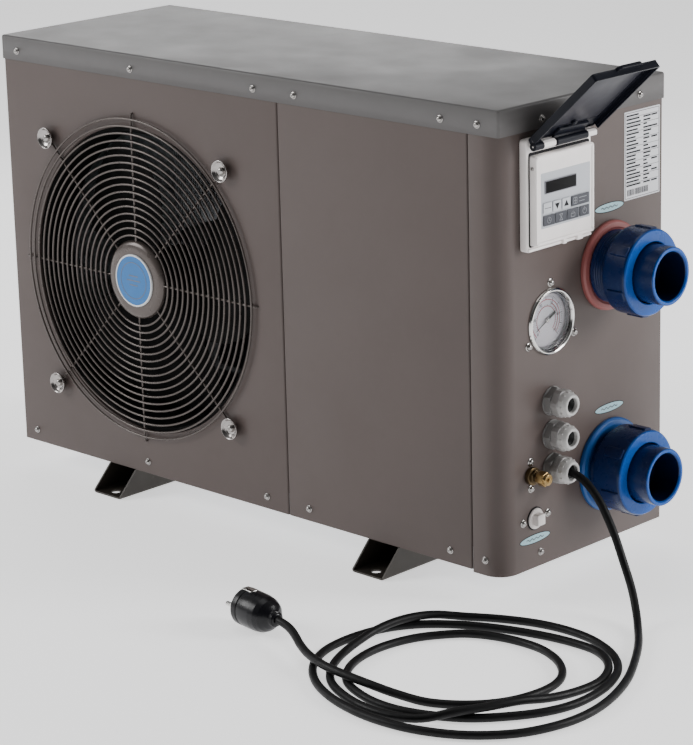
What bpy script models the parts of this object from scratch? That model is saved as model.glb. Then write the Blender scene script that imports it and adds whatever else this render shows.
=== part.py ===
"""Swimming-pool heat pump unit: sheet-metal casing, axial fan, refrigeration circuit and water unions.

Metres, +Z up. X runs along the width, -Y is the fan side, and z = 0 is the floor under the feet.
"""

from math import cos, hypot, pi, radians, sin

import bmesh
import bpy
from mathutils import Vector

MM = 0.001

# Casing
LID_WIDTH = 745.0
LID_DEPTH = 260.0
LID_TOP = 507.5
SKIRT_HEIGHT = 27.0
PANEL_X = 370.9  # outer face of the side panels
PANEL_Y = 128.25  # outer face of the front and rear panels
PANEL_BOTTOM = 29.5
PANEL_TOP = 505.6
SHEET = 1.2
GAP = 0.4
SEAM_FAN = 67.3  # seam between the fan panel and the service panel
SEAM_SIDE = 330.3  # seam between the service panel and the side panel
CORNER_RADIUS = 22.0
FLANGE = 12.0
TRAY_TOP = PANEL_BOTTOM + SHEET
ORIGIN_X = 48.85  # the unit's middle, with the cover and the unions, from the casing's middle
PARTITION_X = 58.0

# Foot rails
RAIL_CENTRES = {"left": -199.8, "right": 207.3}
RAIL_WIDTH = 45.0
RAIL_HALF_LENGTH = 154.0
RAIL_SHEET = 2.0
BOLT_RADIUS = 5.5
BOLT_Y = 141.0

# Fan
FAN_X = -155.0
FAN_Z = 253.3
OPENING_RADIUS = 173.5
GRILLE_RADIUS = 183.0
GRILLE_INNER = 51.0
GRILLE_RINGS = 7
GRILLE_WIRE = 2.4
GRILLE_ARM = 205.0
SPOKES = 8
ROTOR_RADIUS = 158.0
HUB_RADIUS = 30.0
BLADES = 3
MOTOR_RADIUS = 46.0

# Water unions: axis height, distance of the nut from the panel, collar radius
UNION_Y = 41.2
UNIONS = {"upper": (321.5, 55.8, 29.4, 46.6), "lower": (108.6, 49.8, 35.8, 49.6)}  # height, nut front, nut length, collar
SOCKET_RADIUS = 25.1
TAIL_RADIUS = 30.1
NUT_RADIUS = 45.0
NUT_RIBS = 8

# Side panel fittings
GLAND_Y = -50.5
GLAND_HEIGHTS = (198.3, 163.0, 127.7)
GLAND_FLATS = 27.0
GAUGE_Y = -51.0
GAUGE_Z = 281.5
VALVE_Y = -84.0
VALVE_Z = 127.2
DRAIN_Y = -77.5
DRAIN_Z = 79.9

# Controller
BOX_LOW = (-98.5, 361.5)
BOX_HIGH = (0.5, 474.5)
BOX_DEPTH = 9.6
PLATE_LOW = (-93.8, 368.0)
PLATE_HIGH = (-4.0, 458.5)
PLATE_FRONT = 18.0
KEYS = {
    "key_mode": (-83.0, -70.0, 399.5, 410.0),
    "key_down": (-68.5, -56.0, 399.5, 410.0),
    "key_up": (-54.5, -42.0, 399.5, 410.0),
    "key_set": (-40.0, -13.0, 399.5, 410.0),
    "key_clock": (-83.0, -66.0, 387.0, 397.5),
    "key_timer": (-65.0, -48.0, 387.0, 397.5),
    "key_lock": (-47.0, -29.5, 387.0, 397.5),
    "key_power": (-27.5, -13.0, 387.0, 397.5),
}
HINGE_OUT = 17.0  # cover hinge axis, out from the side panel
HINGE_Z = 468.5
COVER_ANGLE = 42.3  # degrees above the horizontal, at rest
COVER_LENGTH = 109.0
COVER_DEPTH = 8.2
COVER_OFFSET = 9.0

# Power cord
CORD_RADIUS = 4.2
CORD_POINT_SPACING = 45.0
PLUG_RADIUS = 19.5
PLUG_Y = -339.4
PLUG_REAR = 261.6
PLUG_TURN = 8.0  # degrees that the plug's pins point away from -X, towards +Y

AXIS_TURNS = {"X": (0, pi / 2, 0), "Y": (-pi / 2, 0, 0), "Z": (0, 0, 0)}
PLATE_TURNS = {"X": (pi / 2, 0, pi / 2), "Y": (pi / 2, 0, 0), "Z": (0, 0, 0)}


# ---------------------------------------------------------------- scene and materials


def clear_scene():
    for obj in list(bpy.data.objects):
        bpy.data.objects.remove(obj, do_unlink=True)


def new_collection(name, hidden=False):
    collection = bpy.data.collections.new(name)
    bpy.context.scene.collection.children.link(collection)
    collection.hide_render = hidden
    return collection


clear_scene()
PARTS = new_collection("heat_pump_unit")
CUTTERS = new_collection("cutters", hidden=True)


def material(name, color, roughness, metallic=0.0):
    made = bpy.data.materials.new(name)
    made.use_nodes = True
    shader = made.node_tree.nodes["Principled BSDF"]
    shader.inputs["Base Color"].default_value = (*color, 1.0)
    shader.inputs["Roughness"].default_value = roughness
    shader.inputs["Metallic"].default_value = metallic
    return made


CASING = material("casing_taupe", (0.19, 0.165, 0.15), 0.42, 0.3)
RAIL = material("foot_rail_dark", (0.02, 0.018, 0.014), 0.5, 0.4)
GALVANISED = material("galvanised_steel", (0.55, 0.56, 0.57), 0.4, 0.9)
BLACK = material("black_plastic", (0.012, 0.012, 0.013), 0.45)
WHITE = material("white_plastic", (0.78, 0.78, 0.76), 0.35)
KEY_WHITE = material("key_white", (0.62, 0.64, 0.66), 0.4)
KEY_GREY = material("key_grey", (0.12, 0.125, 0.135), 0.4)
DISPLAY = material("display_black", (0.008, 0.008, 0.01), 0.1)
SMOKED = material("smoked_plastic", (0.01, 0.012, 0.018), 0.12)
BLUE = material("union_blue", (0.0, 0.06, 0.27), 0.3)
RED = material("collar_red", (0.23, 0.06, 0.05), 0.5)
COLLAR_BLUE = material("collar_blue", (0.02, 0.12, 0.32), 0.45)
CHROME = material("chrome", (0.8, 0.8, 0.8), 0.12, 1.0)
DIAL = material("dial_white", (0.75, 0.72, 0.74), 0.5)
NEEDLE = material("needle_black", (0.01, 0.01, 0.01), 0.4)
GLAND = material("gland_grey", (0.42, 0.42, 0.42), 0.45)
BRASS = material("brass", (0.55, 0.36, 0.13), 0.3, 1.0)
DRAIN = material("drain_white", (0.68, 0.66, 0.64), 0.5)
BADGE = material("badge_blue", (0.07, 0.3, 0.72), 0.35)
ALUMINIUM = material("aluminium_fins", (0.62, 0.64, 0.66), 0.4, 1.0)
COPPER = material("copper", (0.7, 0.32, 0.18), 0.3, 1.0)
STEEL_BLACK = material("compressor_black", (0.015, 0.015, 0.016), 0.4, 0.2)
TANK = material("exchanger_grey", (0.08, 0.09, 0.1), 0.5)
RUBBER = material("cord_rubber", (0.01, 0.01, 0.01), 0.5)


# ---------------------------------------------------------------- shape helpers


def keep(obj, look):
    """Puts a finished sub-part in the parts collection, with its material."""
    for collection in list(obj.users_collection):
        collection.objects.unlink(obj)
    PARTS.objects.link(obj)
    obj.data.materials.clear()
    obj.data.materials.append(look)
    if obj.type == "MESH" and obj.data.polygons:
        obj.data.shade_smooth()
        obj.data.set_sharp_from_angle(angle=radians(30))
    for modifier in obj.modifiers:
        if modifier.type == "SCREW":
            modifier.use_smooth_shade = True
    return obj


def as_cutter(obj):
    for collection in list(obj.users_collection):
        collection.objects.unlink(obj)
    CUTTERS.objects.link(obj)
    obj.hide_render = True
    obj.display_type = "WIRE"
    return obj


def mesh_object(name, bm):
    mesh = bpy.data.meshes.new(name)
    bm.to_mesh(mesh)
    bm.free()
    obj = bpy.data.objects.new(name, mesh)
    bpy.context.scene.collection.objects.link(obj)
    return obj


def box(name, low, high):
    """A box between two corners, in millimetres, with its origin at its centre."""
    size = [(high[i] - low[i]) * MM for i in range(3)]
    bm = bmesh.new()
    bmesh.ops.create_cube(bm, size=1.0)
    bmesh.ops.scale(bm, vec=size, verts=bm.verts)
    obj = mesh_object(name, bm)
    obj.location = [(high[i] + low[i]) / 2 * MM for i in range(3)]
    return obj


def turned(name, profile, origin, axis="X", steps=32, ring=False):
    """Turns (radius, distance along the axis) points about the axis.

    A ring's profile is a closed loop; any other starts and ends on the axis.
    """
    loop = zip(profile, profile[1:] + profile[:1])
    if sum(a[0] * b[1] - b[0] * a[1] for a, b in loop) > 0:
        profile = profile[::-1]
    bm = bmesh.new()
    points = [bm.verts.new((radius * MM, 0, along * MM)) for radius, along in profile]
    pairs = list(zip(points, points[1:]))
    if ring:
        pairs.append((points[-1], points[0]))
    for first, second in pairs:
        bm.edges.new((first, second))
    obj = mesh_object(name, bm)
    screw = obj.modifiers.new("turn", "SCREW")
    screw.steps = steps
    screw.render_steps = steps
    screw.use_merge_vertices = True
    screw.merge_threshold = 0.00001
    obj.rotation_euler = AXIS_TURNS[axis]
    obj.location = [value * MM for value in origin]
    return obj


def as_mesh(curve_object):
    """Replaces a curve object by the closed mesh that it makes."""
    bpy.context.view_layer.update()
    graph = bpy.context.evaluated_depsgraph_get()
    mesh = bpy.data.meshes.new_from_object(curve_object.evaluated_get(graph))
    bm = bmesh.new()
    bm.from_mesh(mesh)
    bmesh.ops.remove_doubles(bm, verts=bm.verts, dist=0.000001)
    bm.to_mesh(mesh)
    bm.free()
    name = curve_object.name
    curve_object.name = name + "_curve"
    obj = bpy.data.objects.new(name, mesh)
    bpy.context.scene.collection.objects.link(obj)
    obj.matrix_world = curve_object.matrix_world
    bpy.data.objects.remove(curve_object, do_unlink=True)
    return obj


def prism(name, outlines, thickness, origin, axis="Z"):
    """Extrudes an outline, and any holes listed after it, with the origin at mid-thickness.

    The outlines run in XY for axis Z, in XZ for axis Y and in YZ for axis X.
    """
    curve = bpy.data.curves.new(name, "CURVE")
    curve.dimensions = "2D"
    curve.fill_mode = "BOTH"
    curve.extrude = thickness / 2 * MM
    for outline in outlines:
        spline = curve.splines.new("POLY")
        spline.points.add(len(outline) - 1)
        for point, (across, up) in zip(spline.points, outline):
            point.co = (across * MM, up * MM, 0, 1)
        spline.use_cyclic_u = True
    obj = bpy.data.objects.new(name, curve)
    bpy.context.scene.collection.objects.link(obj)
    obj.rotation_euler = PLATE_TURNS[axis]
    obj.location = [value * MM for value in origin]
    return as_mesh(obj)


def tube(name, points, radius, resolution=2):
    """A round bar or pipe along the points, with filled ends."""
    curve = bpy.data.curves.new(name, "CURVE")
    curve.dimensions = "3D"
    curve.bevel_depth = radius * MM
    curve.bevel_resolution = resolution
    curve.use_fill_caps = True
    spline = curve.splines.new("POLY")
    spline.points.add(len(points) - 1)
    for point, place in zip(spline.points, points):
        point.co = (place[0] * MM, place[1] * MM, place[2] * MM, 1)
    obj = bpy.data.objects.new(name, curve)
    bpy.context.scene.collection.objects.link(obj)
    return obj


def boolean(obj, other, operation):
    modifier = obj.modifiers.new(other.name, "BOOLEAN")
    modifier.operation = operation
    modifier.object = other
    as_cutter(other)
    return obj


def cut(obj, other):
    return boolean(obj, other, "DIFFERENCE")


def join(obj, other):
    return boolean(obj, other, "UNION")


def rectangle(low, high):
    return [(low[0], low[1]), (high[0], low[1]), (high[0], high[1]), (low[0], high[1])]


def arc(centre, radius, start, end, steps):
    """Points on an arc, from one angle to another in degrees, both included."""
    angles = [radians(start + (end - start) * i / steps) for i in range(steps + 1)]
    return [(centre[0] + radius * cos(a), centre[1] + radius * sin(a)) for a in angles]


def circle(centre, radius, steps=32):
    return arc(centre, radius, 0, 360, steps)[:-1]


def polygon(centre, across_flats, sides, turn=0.0):
    corner = across_flats / 2 / cos(pi / sides)
    return [
        (centre[0] + corner * cos(turn + 2 * pi * i / sides), centre[1] + corner * sin(turn + 2 * pi * i / sides))
        for i in range(sides)
    ]


def ribbon(path, thickness):
    """The outline of a folded sheet: the path, and back along it at one thickness to its left."""
    inner = []
    for i, point in enumerate(path):
        before = path[max(i - 1, 0)]
        after = path[min(i + 1, len(path) - 1)]
        normals = []
        for start, end in ((before, point), (point, after)):
            length = hypot(end[0] - start[0], end[1] - start[1])
            if length > 0:
                normals.append((-(end[1] - start[1]) / length, (end[0] - start[0]) / length))
        across = (sum(n[0] for n in normals), sum(n[1] for n in normals))
        size = hypot(*across)
        across = (across[0] / size, across[1] / size)
        spread = across[0] * normals[0][0] + across[1] * normals[0][1]
        inner.append((point[0] + across[0] * thickness / spread, point[1] + across[1] * thickness / spread))
    return list(path) + inner[::-1]


def folded_panel(name, path, bottom, top):
    """A sheet folded along an outline seen from above."""
    middle = (bottom + top) / 2
    return prism(name, [ribbon(path, SHEET)], top - bottom, (0, 0, middle))


def slot_rows(low, high, columns, rows, bar):
    """Rectangular slots that fill a rectangle, with bars between them."""
    width = (high[0] - low[0] - bar * (columns - 1)) / columns
    height = (high[1] - low[1] - bar * (rows - 1)) / rows
    slots = []
    for column in range(columns):
        for row in range(rows):
            corner = (low[0] + column * (width + bar), low[1] + row * (height + bar))
            slots.append(rectangle(corner, (corner[0] + width, corner[1] + height)))
    return slots


def smooth_route(route, spacing, fine_ends=0.0):
    """Points on a smooth curve through the route's points, closer together within a length of each end."""
    places = [Vector(point) for point in route]
    places = [2 * places[0] - places[1]] + places + [2 * places[-1] - places[-2]]
    fine = []
    for a, b, c, d in zip(places, places[1:], places[2:], places[3:]):
        for step in range(20):
            t = step / 20
            fine.append(
                0.5 * (2 * b + (c - a) * t + (2 * a - 5 * b + 4 * c - d) * t**2 + (3 * b - a - 3 * c + d) * t**3)
            )
    fine.append(places[-2])
    lengths = [0.0]
    for first, second in zip(fine, fine[1:]):
        lengths.append(lengths[-1] + (second - first).length)
    total = lengths[-1]
    stations = [0.0]
    while stations[-1] < total:
        from_end = min(stations[-1], total - stations[-1])
        stations.append(stations[-1] + (spacing / 3 if from_end < fine_ends else spacing))
    stations[-1] = total
    if total - stations[-2] < spacing / 6:
        del stations[-2]
    points = []
    index = 0
    for wanted in stations:
        while index < len(fine) - 2 and lengths[index + 1] < wanted:
            index += 1
        share = (wanted - lengths[index]) / (lengths[index + 1] - lengths[index])
        points.append(fine[index].lerp(fine[index + 1], min(share, 1.0)))
    return points


# ---------------------------------------------------------------- casing


def base_tray():
    """The floor pan, with a turned-up rim inside the panels."""
    edge_x = PANEL_X - SHEET - GAP
    edge_y = PANEL_Y - SHEET - GAP
    floor = PANEL_BOTTOM
    tray = box("base_tray", (-edge_x, -edge_y, floor), (edge_x, edge_y, floor + 24))
    inside = (edge_x - SHEET, edge_y - SHEET)
    hollow = box("base_tray_hollow", (-inside[0], -inside[1], floor + SHEET), (*inside, floor + 40))
    cut(tray, hollow)
    corner = box("base_tray_corner", (SEAM_SIDE, -edge_y - 5, floor - 5), (edge_x + 5, -edge_y + 21, floor + 40))
    keep(cut(tray, corner), GALVANISED)


def foot_rail(side, centre):
    """A channel across the depth, with sloped ends and a bolt hole at each end."""
    low = centre - RAIL_WIDTH / 2
    high = centre + RAIL_WIDTH / 2
    top = PANEL_BOTTOM - 0.3
    path = [(low, top), (low, 0), (high, 0), (high, top)]
    rail = prism("foot_rail_" + side, [ribbon(path, RAIL_SHEET)], 2 * RAIL_HALF_LENGTH, (0, 0, 0), "Y")
    for sign in (-1, 1):
        tip = sign * (RAIL_HALF_LENGTH + 0.5)
        slope = [(tip, 2.6), (sign * 126.5, 32), (sign * 126.5, 60), (sign * 200, 60), (sign * 200, 2.6)]
        cut(rail, prism(f"rail_slope_{side}_{sign}", [slope], RAIL_WIDTH + 20, (centre, 0, 0), "X"))
        hole = prism(f"rail_hole_{side}_{sign}", [circle((0, 0), BOLT_RADIUS, 16)], 20, (centre, sign * BOLT_Y, 0))
        cut(rail, hole)
    keep(rail, RAIL)


def notch_flange(panel, seam):
    """Cuts the foot of a seam's inward flange away, clear of the base tray."""
    low = (seam - 2.5, -PANEL_Y + SHEET, PANEL_BOTTOM - 5)
    high = (seam + 2.5, -PANEL_Y + FLANGE + 5, PANEL_BOTTOM + 26)
    cut(panel, box(f"{panel.name}_notch_{round(seam)}", low, high))


def fan_panel():
    path = [
        (-PANEL_X, -PANEL_Y + FLANGE),
        (-PANEL_X, -PANEL_Y),
        (SEAM_FAN - 0.5, -PANEL_Y),
        (SEAM_FAN - 0.5, -PANEL_Y + FLANGE),
    ]
    panel = folded_panel("fan_panel", path, PANEL_BOTTOM, PANEL_TOP)
    notch_flange(panel, SEAM_FAN)
    opening = prism("fan_opening", [circle((0, 0), OPENING_RADIUS, 48)], 20, (FAN_X, -PANEL_Y, FAN_Z), "Y")
    keep(cut(panel, opening), CASING)


def service_panel():
    path = [
        (SEAM_FAN + 0.5, -PANEL_Y + FLANGE),
        (SEAM_FAN + 0.5, -PANEL_Y),
        (SEAM_SIDE - 0.5, -PANEL_Y),
        (SEAM_SIDE - 0.5, -PANEL_Y + FLANGE),
    ]
    panel = folded_panel("service_panel", path, PANEL_BOTTOM, PANEL_TOP)
    notch_flange(panel, SEAM_FAN)
    notch_flange(panel, SEAM_SIDE)
    keep(panel, CASING)


def side_panel():
    """The right-hand panel: its front edge is rounded, and it carries the water and electric fittings."""
    centre = (PANEL_X - CORNER_RADIUS, -PANEL_Y + CORNER_RADIUS)
    path = [(SEAM_SIDE + 0.5, -PANEL_Y + FLANGE), (SEAM_SIDE + 0.5, -PANEL_Y)]
    path += arc(centre, CORNER_RADIUS, -90, 0, 6)
    path += [(PANEL_X, PANEL_Y), (PANEL_X - 19, PANEL_Y)]
    panel = folded_panel("side_panel", path, PANEL_BOTTOM - 2.5, PANEL_TOP)
    holes = [(UNION_Y, height, 26.0) for height, _, _, _ in UNIONS.values()]
    holes += [(GLAND_Y, height, 10.3) for height in GLAND_HEIGHTS]
    holes += [(GAUGE_Y, GAUGE_Z, 31.5), (VALVE_Y, VALVE_Z, 6.5), (DRAIN_Y, DRAIN_Z, 9.2)]
    for number, (across, up, radius) in enumerate(holes):
        steps = 32 if radius > 20 else 16
        cut(panel, prism(f"side_hole_{number}", [circle((across, up), radius, steps)], 20, (PANEL_X, 0, 0), "X"))
    keep(panel, CASING)


def rear_panel():
    path = [(PANEL_X - 19.6, PANEL_Y), (SEAM_FAN + 0.7, PANEL_Y)]
    keep(folded_panel("rear_panel", path, PANEL_BOTTOM, PANEL_TOP), CASING)


def rear_guard():
    """The slotted guard over the evaporator at the back."""
    low = (-PANEL_X + 19.6, PANEL_BOTTOM)
    high = (SEAM_FAN, PANEL_TOP)
    slots = slot_rows((low[0] + 22, 62), (high[0] - 22, 470), 6, 6, 6.0)
    middle = (0, PANEL_Y - SHEET / 2, 0)
    keep(prism("rear_guard", [rectangle(low, high)] + slots, SHEET, middle, "Y"), CASING)


def left_panel():
    """The slotted panel beside the evaporator's short leg."""
    path = [(-PANEL_X + 19, PANEL_Y), (-PANEL_X, PANEL_Y), (-PANEL_X, -PANEL_Y + FLANGE + 0.6)]
    panel = folded_panel("left_panel", path, PANEL_BOTTOM, PANEL_TOP)
    slots = slot_rows((-96, 62), (104, 470), 3, 6, 6.0)
    for number, slot in enumerate(slots):
        cut(panel, prism(f"left_slot_{number}", [slot], 10, (-PANEL_X, 0, 0), "X"))
    keep(panel, CASING)


def top_cover():
    half = (LID_WIDTH / 2, LID_DEPTH / 2)
    cover = box("top_cover", (-half[0], -half[1], LID_TOP - SKIRT_HEIGHT), (*half, LID_TOP))
    inside = (half[0] - SHEET, half[1] - SHEET)
    hollow = box("top_cover_hollow", (-inside[0], -inside[1], LID_TOP - SKIRT_HEIGHT - 10), (*inside, LID_TOP - SHEET))
    keep(cut(cover, hollow), CASING)


def partition_plate():
    low = (-PANEL_Y + SHEET + GAP + FLANGE, TRAY_TOP + 0.4)
    plate = prism("partition_plate", [rectangle(low, (82.0, 498.0))], SHEET, (PARTITION_X, 0, 0), "X")
    keep(plate, GALVANISED)


# ---------------------------------------------------------------- fan


def grille_outline():
    """The grille's rim, with four arms that reach out to its fixing screws."""
    half_arm = 2.2
    spread = 360 * half_arm / (2 * pi * GRILLE_RADIUS)
    outline = []
    for quarter in range(4):
        middle = 45 + 90 * quarter
        outline += arc((0, 0), GRILLE_RADIUS, middle - 90 + spread, middle - spread, 12)
        along = (cos(radians(middle)), sin(radians(middle)))
        for side in (-half_arm, half_arm):
            outline.append((GRILLE_ARM * along[0] - side * along[1], GRILLE_ARM * along[1] + side * along[0]))
    return outline


def grille_gaps():
    """The openings between neighbouring rings and spokes."""
    pitch = (GRILLE_RADIUS - GRILLE_INNER) / (GRILLE_RINGS - 1)
    gaps = []
    for ring in range(GRILLE_RINGS - 1):
        inner = GRILLE_INNER + ring * pitch + GRILLE_WIRE / 2
        outer = inner + pitch - GRILLE_WIRE
        for spoke in range(SPOKES):
            start = 360 * spoke / SPOKES
            end = start + 360 / SPOKES
            trims = [360 * GRILLE_WIRE / 2 / (2 * pi * radius) for radius in (inner, outer)]
            gap = arc((0, 0), outer, start + trims[1], end - trims[1], 4)
            gap += arc((0, 0), inner, end - trims[0], start + trims[0], 4)
            gaps.append(gap)
    return gaps


def fan_grille():
    origin = (FAN_X, -PANEL_Y - 2.4, FAN_Z)
    keep(prism("fan_grille", [grille_outline()] + grille_gaps(), 3.0, origin, "Y"), CASING)


def hub_plate_and_badge():
    face = -PANEL_Y - 3.9
    plate = [(0, 4.0), (38, 4.0), (44.3, 1.6), (44.3, 0.4), (0, 0.4)]
    hub = turned("grille_hub_plate", plate, (FAN_X, face, FAN_Z), "Y", 40)
    hub.rotation_euler = (pi / 2, 0, 0)
    keep(hub, CASING)
    disc = [(0, 1.0), (28.8, 1.0), (29.4, 0.5), (29.4, 0), (0, 0)]
    badge = turned("grille_badge", disc, (FAN_X, face - 4.4, FAN_Z), "Y", 40)
    badge.rotation_euler = (pi / 2, 0, 0)
    keep(badge, BADGE)


def fan_shroud():
    """The ring that guides the air into the opening, behind the fan panel."""
    profile = [(167, 40), (167, 6), (175, 0), (182, 0), (182, -1.5), (173, -1.5), (165, 6), (165, 40)]
    keep(turned("fan_shroud", profile, (FAN_X, -PANEL_Y + SHEET + 2.0, FAN_Z), "Y", 40, ring=True), BLACK)


def fan_blade(number):
    """One twisted blade: a grid from the hub to the tip, thickened."""
    rows, columns = 5, 6
    bm = bmesh.new()
    grid = []
    for row in range(rows):
        share = row / (rows - 1)
        radius = (HUB_RADIUS - 4 + (ROTOR_RADIUS - HUB_RADIUS + 4) * share) * MM
        line = []
        for column in range(columns):
            across = column / (columns - 1) - 0.5
            angle = radians(360 / BLADES * number + across * (64 + 22 * share) + 16 * share)
            pitch = (34 + 10 * share) * across * MM
            line.append(bm.verts.new((radius * cos(angle), radius * sin(angle), pitch)))
        grid.append(line)
    for low, high in zip(grid, grid[1:]):
        for i in range(columns - 1):
            bm.faces.new((low[i], high[i], high[i + 1], low[i + 1]))
    bmesh.ops.recalc_face_normals(bm, faces=bm.faces)
    blade = mesh_object(f"fan_blade_{number}", bm)
    solid = blade.modifiers.new("thickness", "SOLIDIFY")
    solid.thickness = 2.4 * MM
    solid.offset = 0
    return blade


def fan_rotor():
    """Hub, blades and shaft, turning about the fan axis."""
    middle_y = -84.0
    profile = [(0, 56), (6, 56), (6, 22), (HUB_RADIUS, 20), (HUB_RADIUS, -18), (HUB_RADIUS - 4, -22), (0, -22)]
    rotor = turned("fan_rotor", profile, (FAN_X, middle_y, FAN_Z), "Y", 32)
    for number in range(BLADES):
        blade = fan_blade(number)
        blade.rotation_euler = AXIS_TURNS["Y"]
        blade.location = rotor.location
        join(rotor, blade)
    keep(rotor, BLACK)


def fan_motor():
    """The motor can, with a hole for the shaft."""
    front = -50.0
    profile = [
        (12, 0), (MOTOR_RADIUS - 4, 0), (MOTOR_RADIUS, 4), (MOTOR_RADIUS, 66), (0, 66), (0, 24), (6.5, 24), (6.5, 0),
    ]
    can = [(radius, along) for radius, along in reversed(profile)]
    keep(turned("fan_motor", can[2:] + can[:2], (FAN_X, front, FAN_Z), "Y", 32, ring=True), GALVANISED)


def motor_bracket():
    """Two uprights joined behind the motor, standing on the base tray."""
    low = TRAY_TOP + 0.4
    frame = rectangle((-52, low), (52, 472))
    windows = [rectangle((-34, start), (34, start + 64)) for start in (50, 120, 322, 392)]
    bracket = prism("motor_bracket", [frame] + windows, 2.0, (FAN_X, 17.6, 0), "Y")
    keep(bracket, GALVANISED)


# ---------------------------------------------------------------- refrigeration circuit


def evaporator_coil():
    """The L-shaped finned coil along the back and the left side."""
    outline = [(50, 86), (50, 122), (-364, 122), (-364, -100), (-328, -100), (-328, 86)]
    keep(prism("evaporator_coil", [outline], 430, (0, 0, 252)), ALUMINIUM)


def compressor():
    base = 23.2
    profile = [(0, 262), (26, 260), (48, 250), (58, 232), (58, 32), (50, 16), (66, 12), (66, 8), (0, 8)]
    keep(turned("compressor", profile, (142, 48, base), "Z", 28), STEEL_BLACK)


def accumulator():
    profile = [(0, 150), (20, 146), (28, 132), (28, 14), (20, 2), (0, 0)]
    keep(turned("accumulator", profile, (142, -56, 70), "Z", 20), STEEL_BLACK)


def heat_exchanger():
    """The upright water vessel that the unions open into."""
    profile = [(0, 372), (44, 366), (60, 346), (60, 22), (50, 4), (0, 0)]
    keep(turned("heat_exchanger", profile, (278, UNION_Y, TRAY_TOP + 0.4), "Z", 32), TANK)


def reversing_valve():
    valve = turned("reversing_valve", [(0, 48), (13, 46), (13, -46), (0, -48)], (142, 48, 372), "X", 16)
    coil = turned("reversing_coil", [(0, 10), (16, 10), (16, -18), (0, -18)], (142, 30, 372), "Y", 16)
    keep(join(valve, coil), BRASS)


def refrigerant_pipes():
    discharge = [(142, 48, 285.6), (142, 48, 358.4)]
    keep(tube("discharge_pipe", discharge, 5.0), COPPER)
    suction = smooth_route(
        [(106, 48, 358.4), (106, 44, 340), (100, 20, 318), (98, -20, 300), (112, -48, 280), (138, -56, 255), (142, -56, 220.6)],
        16,
    )
    keep(tube("suction_pipe", suction, 6.0), COPPER)


def electric_box():
    """The box for the power board, above the gauge and behind the service panel."""
    case = box("electric_box", (84, -112, 330), (352, -66, 478))
    hollow = box("electric_box_hollow", (86, -104, 332), (350, -68, 490))
    keep(cut(case, hollow), GALVANISED)


# ---------------------------------------------------------------- controller


def out(distance):
    """X of a point at a distance out from the side panel."""
    return PANEL_X + distance


def controller_housing():
    """The white back box, with two lugs that hold the cover's hinge pin."""
    housing = box("controller_housing", (out(GAP), *BOX_LOW), (out(BOX_DEPTH), *BOX_HIGH))
    for number, (start, end) in enumerate(((-82.4, -64.6), (-15.0, -2.0))):
        lug = box(f"hinge_lug_{number}", (out(5), start, 463), (out(HINGE_OUT + 2), end, HINGE_Z + 3.5))
        join(housing, lug)
    keep(housing, WHITE)


def controller_faceplate():
    """The raised front, with a pocket for the display and one for the keys."""
    low = (out(BOX_DEPTH + 0.3), *PLATE_LOW)
    plate = box("controller_faceplate", low, (out(PLATE_FRONT), *PLATE_HIGH))
    cut(plate, box("display_pocket", (out(16.9), -79.8, 419.0), (out(30), -32.4, 431.8)))
    cut(plate, box("key_pocket", (out(16.4), -84.0, 386.0), (out(30), -12.0, 411.0)))
    keep(plate, WHITE)


def display_and_keys():
    keep(box("display_window", (out(17.2), -79.3, 419.5), (out(18.2), -32.9, 431.3)), DISPLAY)
    for name, (left, right, low, high) in KEYS.items():
        look = KEY_GREY if name in ("key_set", "key_clock", "key_timer", "key_lock", "key_power") else KEY_WHITE
        keep(box(name, (out(17.3), left, low), (out(18.4), right, high)), look)


def flip_cover():
    """The smoked cover, modelled along its own plane and turned to its open rest place."""
    low_y, high_y = -98.0, 0.2
    top = COVER_OFFSET
    cover = box("flip_cover", (0, low_y, top - COVER_DEPTH), (COVER_LENGTH, high_y, top))
    hollow = box("flip_cover_hollow", (-20, low_y + 1.6, -40), (COVER_LENGTH - 1.6, high_y - 1.6, top - 1.6))
    tab = box("flip_cover_tab", (COVER_LENGTH - 1, -62, top - 5), (COVER_LENGTH + 4, -26, top - 1))
    relief = box("flip_cover_relief", (-20, low_y - 5, -40), (5.5, high_y + 5, 3.9))
    cut(cover, hollow)
    cut(cover, relief)
    join(cover, tab)
    for number, (start, end) in enumerate(((-97.6, -83.2), (-63.8, -15.8))):
        web = box(f"hinge_web_{number}", (-1.0, start, 0), (2.0, end, top - 0.2))
        barrel = turned(f"hinge_barrel_{number}", [(0, end), (3.2, end), (3.2, start), (0, start)], (0, 0, 0), "Y", 12)
        join(cover, web)
        join(cover, barrel)
    pivot = bpy.data.objects.new("cover_hinge_axis", None)
    PARTS.objects.link(pivot)
    pivot.location = (out(HINGE_OUT) * MM, 0, HINGE_Z * MM)
    pivot.rotation_euler = (0, -radians(COVER_ANGLE), 0)
    for piece in [cover] + [modifier.object for modifier in cover.modifiers]:
        piece.parent = pivot
    keep(cover, SMOKED)


# ---------------------------------------------------------------- gauge


def gauge():
    origin = (PANEL_X, GAUGE_Y, GAUGE_Z)
    cup = [(32.1, 3.2), (34.8, 0.4), (31, 0.4), (31, -26), (0, -26), (0, -8), (29.4, -8), (29.4, 3.2)]
    keep(turned("gauge_case", cup, origin, "X", 36, ring=True), CHROME)
    dial = turned("gauge_dial", [(0, -6.8), (29, -6.8), (29, -7.6), (0, -7.6)], origin, "X", 36)
    keep(dial, DIAL)
    needle()


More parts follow.
